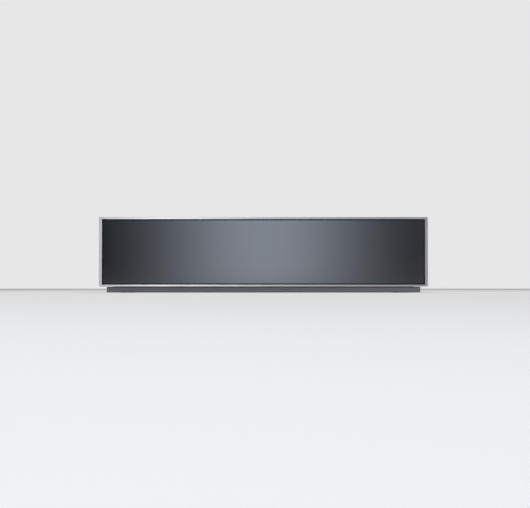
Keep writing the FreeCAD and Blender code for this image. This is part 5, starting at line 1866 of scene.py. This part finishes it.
@dataclass
class AirPath(Assembly):
    """Valves, their coils, the sensor and the hoses."""

    block_top: float = 54.2
    outlet_x: float = 54.6
    pump_x: float = 123.8
    port: Pair = (116.6, 180.5)
    hose_z: float = 45.5
    outlet_clamps: Pair = (97.5, 138.0)
    pump_clamps: Pair = (-149.5, 138.0)
    port_clamps: Pair = (64.5, 89.5)
    clamp_radii: Pair = (5.02, 5.6)
    clamp_half: float = 2.4
    block_screw: Head = Head(2.2, 2.0, Drive.HEX)
    block_screws: tuple[float, ...] = (50.6, 75.0, 102.6, 126.6)
    block_screw_y: float = 152.5
    coil_places: Triple = (60.6, 88.6, 116.6)
    plug_half: float = 5.0
    plug_ends: Pair = (147.6, 153.0)
    plug_levels: Pair = (60.2, 72.2)
    plug_edge: float = 0.6
    pin_shift: float = 2.5
    pin_half: float = 0.4
    pin_ends: Pair = (150.0, 150.8)
    pin_levels: Pair = (72.0, 76.2)
    pin_edge: float = 0.1

    NODES = {
        "valve_block": Slot.VALVE,
        "solenoid_coils": Slot.COIL,
        "pressure_sensor": Slot.HINGE,
        "chamber_hose": Slot.HOSE,
        "pump_hose": Slot.HOSE,
        "port_hose": Slot.HOSE,
    }

    def add_pieces(self) -> None:
        """Adds the clamps of the hoses, the screws of the block and the coils' plugs."""
        self.clamps()
        form = Form()
        for x in self.block_screws:
            form.screw((x, self.block_screw_y, self.block_top), Axis.Z, self.block_screw)
        self.put(form, "valve_screws", "drawer", Extra.BLACK_SCREW)
        plugs = Form()
        pins = Form()
        for x in self.coil_places:
            plugs.block((x - self.plug_half, self.plug_ends[0], self.plug_levels[0]),
                        (x + self.plug_half, self.plug_ends[1], self.plug_levels[1]),
                        self.plug_edge)
            for middle in (x - self.pin_shift, x + self.pin_shift):
                pins.block((middle - self.pin_half, self.pin_ends[0], self.pin_levels[0]),
                           (middle + self.pin_half, self.pin_ends[1], self.pin_levels[1]),
                           self.pin_edge)
        self.put(plugs, "coil_plugs", "drawer", Extra.BLUE_PLASTIC)
        self.put(pins, "coil_pins", "drawer", Extra.GOLD)

    def clamps(self) -> None:
        """Adds a clamp near both ends of each hose."""
        form = Form()
        places = [((self.outlet_x, y, self.hose_z), Axis.Y) for y in self.outlet_clamps]
        places += [((self.pump_x, y, self.hose_z), Axis.Y) for y in self.pump_clamps]
        places += [((*self.port, z), Axis.Z) for z in self.port_clamps]
        inner, outer = self.clamp_radii
        half = self.clamp_half
        for centre, axis in places:
            form.turned([(inner, -half), (outer, -half), (outer, half), (inner, half),
                         (inner, -half)], centre, axis, sides=36)
        self.put(form, "hose_clamps", "drawer", Extra.BRIGHT_SCREW)


@dataclass
class Electrics(Assembly):
    """Main board, transformer and the gland of the mains lead.

    A can is given by its radius and height. The outline of its sleeve has how far each point
    lies inside that radius, with its height over the board or its depth under the top. A wall
    of a plug header is given by its front, rear and height.
    """

    board_top: float = 24.8
    small_can: Pair = (4.4, 16.0)
    small_cans: tuple[Pair, ...] = ((-201.0, 172.0), (-201.0, 184.0), (-201.0, 196.0))
    large_can: Pair = (6.4, 24.0)
    large_cans: tuple[Pair, ...] = (
        (-180.0, 209.5), (-164.0, 209.5), (-148.0, 209.5), (-132.0, 209.5),
    )
    sleeve_foot: tuple[Pair, ...] = ((0.4, 0.0), (0.0, 0.6), (0.0, 1.6), (0.5, 2.2), (0.0, 2.8))
    sleeve_top: tuple[Pair, ...] = ((0.0, 0.6), (0.9, 0.0), (1.2, 0.0), (1.2, 0.45))
    top_inset: float = 1.3
    top_depths: Pair = (0.5, 0.1)
    plugs: tuple[Pair, ...] = ((-228.0, 18.0), (-198.0, 12.0), (-150.0, 16.0))
    plug_walls: tuple[Triple, ...] = (
        (119.5, 121.0, 9.0), (127.0, 128.5, 6.0), (120.0, 128.0, 1.6),
    )
    plug_edge: float = 0.3
    pin_room: float = 4.0
    pin_pitch: float = 3.6
    pin_ends: Pair = (123.6, 124.4)
    pin_levels: Pair = (1.0, 8.0)
    pin_half: float = 0.4
    pin_edge: float = 0.12
    chip_low: Triple = (-184.0, 166.0, 0.3)
    chip_high: Triple = (-170.0, 178.0, 2.3)
    chip_edge: float = 0.4
    leg_first: float = 167.5
    leg_pitch: float = 1.8
    leg_count: int = 6
    leg_columns: Pair = (-185.0, -169.0)
    leg_half: Pair = (0.8, 0.3)
    leg_height: float = 0.5
    leg_edge: float = 0.08
    coil_low: Pair = (-83.4, 26.2)
    coil_high: Pair = (-43.4, 68.2)
    copper_ends: tuple[Pair, ...] = ((130.1, 139.0), (180.0, 188.9))
    copper_grow: float = 1.2
    tape_grow: float = 1.5
    tape_half: float = 2.6
    turn_edge: float = 2.4
    cheek_starts: Pair = (128.3, 189.3)
    cheek_grow: float = 2.6
    cheek_wall: float = 1.4
    cheek_edge: float = 0.5

    NODES = {
        "main_board": Slot.BOARD,
        "transformer": Slot.CORE,
        "cord_gland": Slot.GLAND,
    }

    def add_pieces(self) -> None:
        """Adds the board's small parts and the transformer's winding."""
        self.capacitors()
        self.connectors()
        self.winding()

    def capacitors(self) -> None:
        """Adds the cans in their sleeves, with bare tops."""
        sleeves, tops = Form(), Form()
        sizes = [(*place, *self.small_can) for place in self.small_cans]
        sizes += [(*place, *self.large_can) for place in self.large_cans]
        for x, y, radius, height in sizes:
            foot = (x, y, self.board_top)
            outline = [(radius - inset, level) for inset, level in self.sleeve_foot]
            outline += [(radius - inset, height - depth) for inset, depth in self.sleeve_top]
            sleeves.turned([(0, 0), *outline, (0, outline[-1][1])], foot, Axis.Z, sides=24)
            inner = radius - self.top_inset
            low, high = (height - depth for depth in self.top_depths)
            tops.turned([(0, low), (inner, low), (inner, high), (0, high)], foot, Axis.Z,
                        sides=24)
        self.put(sleeves, "capacitor_sleeves", "drawer", Extra.SLEEVE)
        self.put(tops, "capacitor_tops", "drawer", Extra.CAN)

    def connectors(self) -> None:
        """Adds the plug headers along the board's front edge, a chip and all their pins."""
        headers, pins = Form(), Form()
        top = self.board_top
        for x, width in self.plugs:
            for front, rear, height in self.plug_walls:
                headers.block((x - width / 2, front, top),
                              (x + width / 2, rear, top + height), self.plug_edge)
            count = int(width // self.pin_room)
            for i in range(count):
                middle = x + (i - (count - 1) / 2) * self.pin_pitch
                pins.block((middle - self.pin_half, self.pin_ends[0], top + self.pin_levels[0]),
                           (middle + self.pin_half, self.pin_ends[1], top + self.pin_levels[1]),
                           self.pin_edge)
        self.put(headers, "board_headers", "drawer", Extra.WHITE_PLASTIC)
        chip = Form()
        lift = Vector((0.0, 0.0, top))
        chip.block(Vector(self.chip_low) + lift, Vector(self.chip_high) + lift, self.chip_edge)
        self.put(chip, "board_chip", "drawer", Extra.BLACK_PLASTIC)
        wide, deep = self.leg_half
        for i in range(self.leg_count):
            y = self.leg_first + self.leg_pitch * i
            for x in self.leg_columns:
                pins.block((x - wide, y - deep, top), (x + wide, y + deep, top + self.leg_height),
                           self.leg_edge)
        self.put(pins, "board_pins", "drawer", Extra.GOLD)

    def winding(self) -> None:
        """Adds the copper, the tape and the bobbin's cheeks round the winding."""
        copper, tape, cheeks = Form(), Form(), Form()
        for start, end in self.copper_ends:
            self.wrap(copper, start, end, self.copper_grow, self.turn_edge, steps=4)
            middle = (start + end) / 2
            self.wrap(tape, middle - self.tape_half, middle + self.tape_half, self.tape_grow,
                      self.turn_edge, steps=4)
        for start in self.cheek_starts:
            self.wrap(cheeks, start, start + self.cheek_wall, self.cheek_grow,
                      self.cheek_edge, steps=2)
        self.put(copper, "copper_turns", "drawer", Extra.COPPER)
        self.put(tape, "winding_tape", "drawer", Extra.TAPE)
        self.put(cheeks, "bobbin_cheeks", "drawer", Extra.YELLOW_PLASTIC)

    def wrap(self, form: Form, start: float, end: float, grow: float, edge: float,
             steps: int) -> None:
        """Adds a block round the transformer's winding.

        Args:
            form: the form that it joins.
            start: where it begins along Y.
            end: where it ends.
            grow: how far it stands out from the winding.
            edge: the bevel of its edges.
            steps: how many faces the bevel has.
        """
        (left, low), (right, high) = self.coil_low, self.coil_high
        form.block((left - grow, start, low - grow), (right + grow, end, high + grow), edge,
                   steps)


@dataclass
class OutsidePort(Assembly):
    """Port for outside containers, with two plain rings on its cover.

    A ring is given by its inner and outer radius. The lip's ends lie in front of the port's
    centre, and its levels under the cover's top.
    """

    centre: Pair = (116.6, 180.5)
    cover_top: float = 121.3
    ink: float = 0.08
    outer_ring: Pair = (6.2, 7.0)
    inner_ring: Pair = (1.4, 2.2)
    lip_half: float = 4.0
    lip_ends: Pair = (12.6, 10.0)
    lip_levels: Pair = (2.8, 0.2)
    lip_edge: float = 0.5

    NODES = {"vacuum_port": Slot.PORT, "port_cover": Slot.PORT}

    def add_pieces(self) -> None:
        """Adds the printed rings on the cover and the finger lip at its front."""
        sign = Form()
        foot = (*self.centre, self.cover_top)
        for (inner, outer), sides in ((self.outer_ring, 40), (self.inner_ring, 24)):
            sign.turned([(inner, 0), (outer, 0), (outer, self.ink), (inner, self.ink),
                         (inner, 0)], foot, Axis.Z, sides)
        self.put(sign, "port_sign", "port_cover", Extra.INK)
        lip = Form()
        x, y = self.centre
        front, rear = self.lip_ends
        low, high = self.lip_levels
        lip.block((x - self.lip_half, y - front, self.cover_top - low),
                  (x + self.lip_half, y - rear, self.cover_top - high), self.lip_edge)
        self.put_slot(lip, "port_cover_lip", "port_cover", Slot.PORT)


@dataclass(frozen=True)
class Lamp:
    """One soft rectangular light."""

    name: str
    place: Triple
    target: Triple
    size: Pair
    power: float
    colour: Triple = (1.0, 1.0, 1.0)

    def hang(self) -> None:
        """Adds the light to the scene."""
        light = bpy.data.lights.new(self.name, "AREA")
        light.shape = "RECTANGLE"
        light.size, light.size_y = self.size
        light.energy = self.power
        light.color = self.colour
        lamp = bpy.data.objects.new(self.name, light)
        lamp.location = self.place
        way = Vector(self.target) - Vector(self.place)
        lamp.rotation_euler = way.to_track_quat("-Z", "Y").to_euler()
        lamp.visible_camera = False
        bpy.context.collection.objects.link(lamp)


@dataclass
class Studio:
    """Floor, lights and camera."""

    front: float = -0.2735
    distance: float = 2.5265
    camera_height: float = 0.01
    aim: Pair = (0.0027, 0.0694)
    frame_width: float = 0.951
    sensor: float = 36.0
    clip: float = 0.005
    floor_half: float = 6.0
    floor_colour: Triple = (0.7, 0.7, 0.7)
    floor_glow: float = 0.25
    floor_roughness: float = 0.9
    floor_specular: float = 0.2
    seen: Triple = (0.8, 0.8, 0.805)
    fill: Triple = (0.11, 0.112, 0.118)
    card_place: Triple = (0.0, -3.3, 0.33)
    card_size: Pair = (2.4, 0.66)
    card_spread: float = 0.27
    bell_base: float = math.exp(-0.5)
    card_glow: float = 2.85
    card_colour: Triple = (0.78, 0.86, 1.0)
    lamps: tuple[Lamp, ...] = (
        Lamp("overhead", (-0.1, -0.3, 2.3), (0.0, 0.0, 0.0), (2.6, 2.2), 26.0),
        Lamp("left", (-1.9, -2.6, 1.3), (-0.2, -0.2, 0.1), (0.8, 1.2), 12.0),
        Lamp("right", (2.3, -1.6, 1.1), (0.0, 0.0, 0.1), (1.0, 1.2), 9.0),
        Lamp("streak", (-0.4, -3.2, 1.15), (-0.2, -0.27, 0.1), (0.16, 0.7), 10.5),
        Lamp("low_right", (0.82, -3.2, 0.2), (0.28, -0.27, 0.05), (0.12, 0.3), 1.3),
        Lamp("rear", (0.4, 2.4, 1.8), (0.0, 0.0, 0.1), (1.8, 1.2), 12.0),
    )

    def build(self) -> None:
        """Sets up the floor, the world, the lights and the camera."""
        self.floor()
        self.world()
        self.card()
        for lamp in self.lamps:
            lamp.hang()
        self.camera()
        bpy.context.scene.view_settings.view_transform = "Standard"

    def sheet(self, name: str, size: Pair, graph: Graph) -> bpy.types.Object:
        """Adds one flat sheet of the studio.

        Args:
            name: its name.
            size: half its width and half its length, in metres.
            graph: its material.

        Returns:
            The sheet, lying at the origin.
        """
        grid = bmesh.new()
        bmesh.ops.create_grid(grid, x_segments=1, y_segments=1, size=1.0)
        bmesh.ops.scale(grid, vec=(*size, 1.0), verts=grid.verts)
        data = bpy.data.meshes.new(name)
        grid.to_mesh(data)
        grid.free()
        data.materials.append(graph.material)
        plane = bpy.data.objects.new(name, data)
        bpy.context.collection.objects.link(plane)
        return plane

    def floor(self) -> None:
        """Adds the plain pale floor."""
        graph = Graph("floor")
        graph.fix("Base Color", (*self.floor_colour, 1.0))
        graph.fix("Roughness", self.floor_roughness)
        graph.fix("Specular IOR Level", self.floor_specular)
        graph.fix("Emission Color", (1.0, 1.0, 1.0, 1.0))
        graph.fix("Emission Strength", self.floor_glow)
        self.sheet("floor", (self.floor_half, self.floor_half), graph)

    def card(self) -> None:
        """Adds the soft card behind the camera, brightest in its middle."""
        graph = Graph("card")
        split = graph.add("ShaderNodeSeparateXYZ")
        graph.link(graph.place, split.inputs["Vector"])
        share = graph.spread(split.outputs["X"], 0.0, 1.0, 0.0, self.card_spread)
        share.node.clamp = False
        bell = graph.add("ShaderNodeMath", operation="POWER")
        bell.inputs[0].default_value = self.bell_base
        graph.link(graph.product(share, share), bell.inputs[1])
        glow = graph.spread(bell.outputs["Value"], 0.0, self.card_glow)
        graph.link(glow, graph.shader.inputs["Emission Strength"])
        graph.fix("Emission Color", (*self.card_colour, 1.0))
        graph.fix("Base Color", (0.0, 0.0, 0.0, 1.0))
        graph.fix("Specular IOR Level", 0.0)
        half = (self.card_size[0] / 2, self.card_size[1] / 2)
        card = self.sheet("card", half, graph)
        card.location = self.card_place
        card.rotation_euler = (math.radians(90.0), 0.0, 0.0)
        card.visible_camera = False

    def world(self) -> None:
        """Makes the surroundings pale to look at and dimmer as a light."""
        world = bpy.data.worlds.new("studio")
        bpy.context.scene.world = world
        world.use_nodes = True
        tree = world.node_tree
        tree.nodes.clear()
        seen = tree.nodes.new("ShaderNodeBackground")
        seen.inputs["Color"].default_value = (*self.seen, 1.0)
        soft = tree.nodes.new("ShaderNodeBackground")
        soft.inputs["Color"].default_value = (*self.fill, 1.0)
        path = tree.nodes.new("ShaderNodeLightPath")
        mix = tree.nodes.new("ShaderNodeMixShader")
        output = tree.nodes.new("ShaderNodeOutputWorld")
        tree.links.new(path.outputs["Is Camera Ray"], mix.inputs[0])
        tree.links.new(soft.outputs[0], mix.inputs[1])
        tree.links.new(seen.outputs[0], mix.inputs[2])
        tree.links.new(mix.outputs[0], output.inputs["Surface"])

    def camera(self) -> None:
        """Adds the camera, low and square to the front."""
        data = bpy.data.cameras.new("camera")
        data.sensor_fit = "HORIZONTAL"
        data.sensor_width = self.sensor
        data.clip_start = self.clip
        camera = bpy.data.objects.new("camera", data)
        camera.location = (self.aim[0], self.front - self.distance, self.camera_height)
        way = Vector((self.aim[0], self.front, self.aim[1])) - camera.location
        data.lens = self.sensor * way.length / self.frame_width
        camera.rotation_euler = way.to_track_quat("-Z", "Y").to_euler()
        bpy.context.collection.objects.link(camera)
        bpy.context.scene.camera = camera


def main() -> None:
    """Builds the studio and every assembly."""
    logging.basicConfig(level=logging.INFO, format="%(name)s: %(message)s")
    Studio().build()
    palette = Palette()
    for kind in (FrontPanel, Housing, Runners, DrawerBody, Chamber, Lid, Controls, PumpSet,
                 Fan, AirPath, Electrics, OutsidePort):
        kind(palette).build()
        LOG.info("assembly %s is done", kind.__name__)


if __name__ == "__main__":
    main()
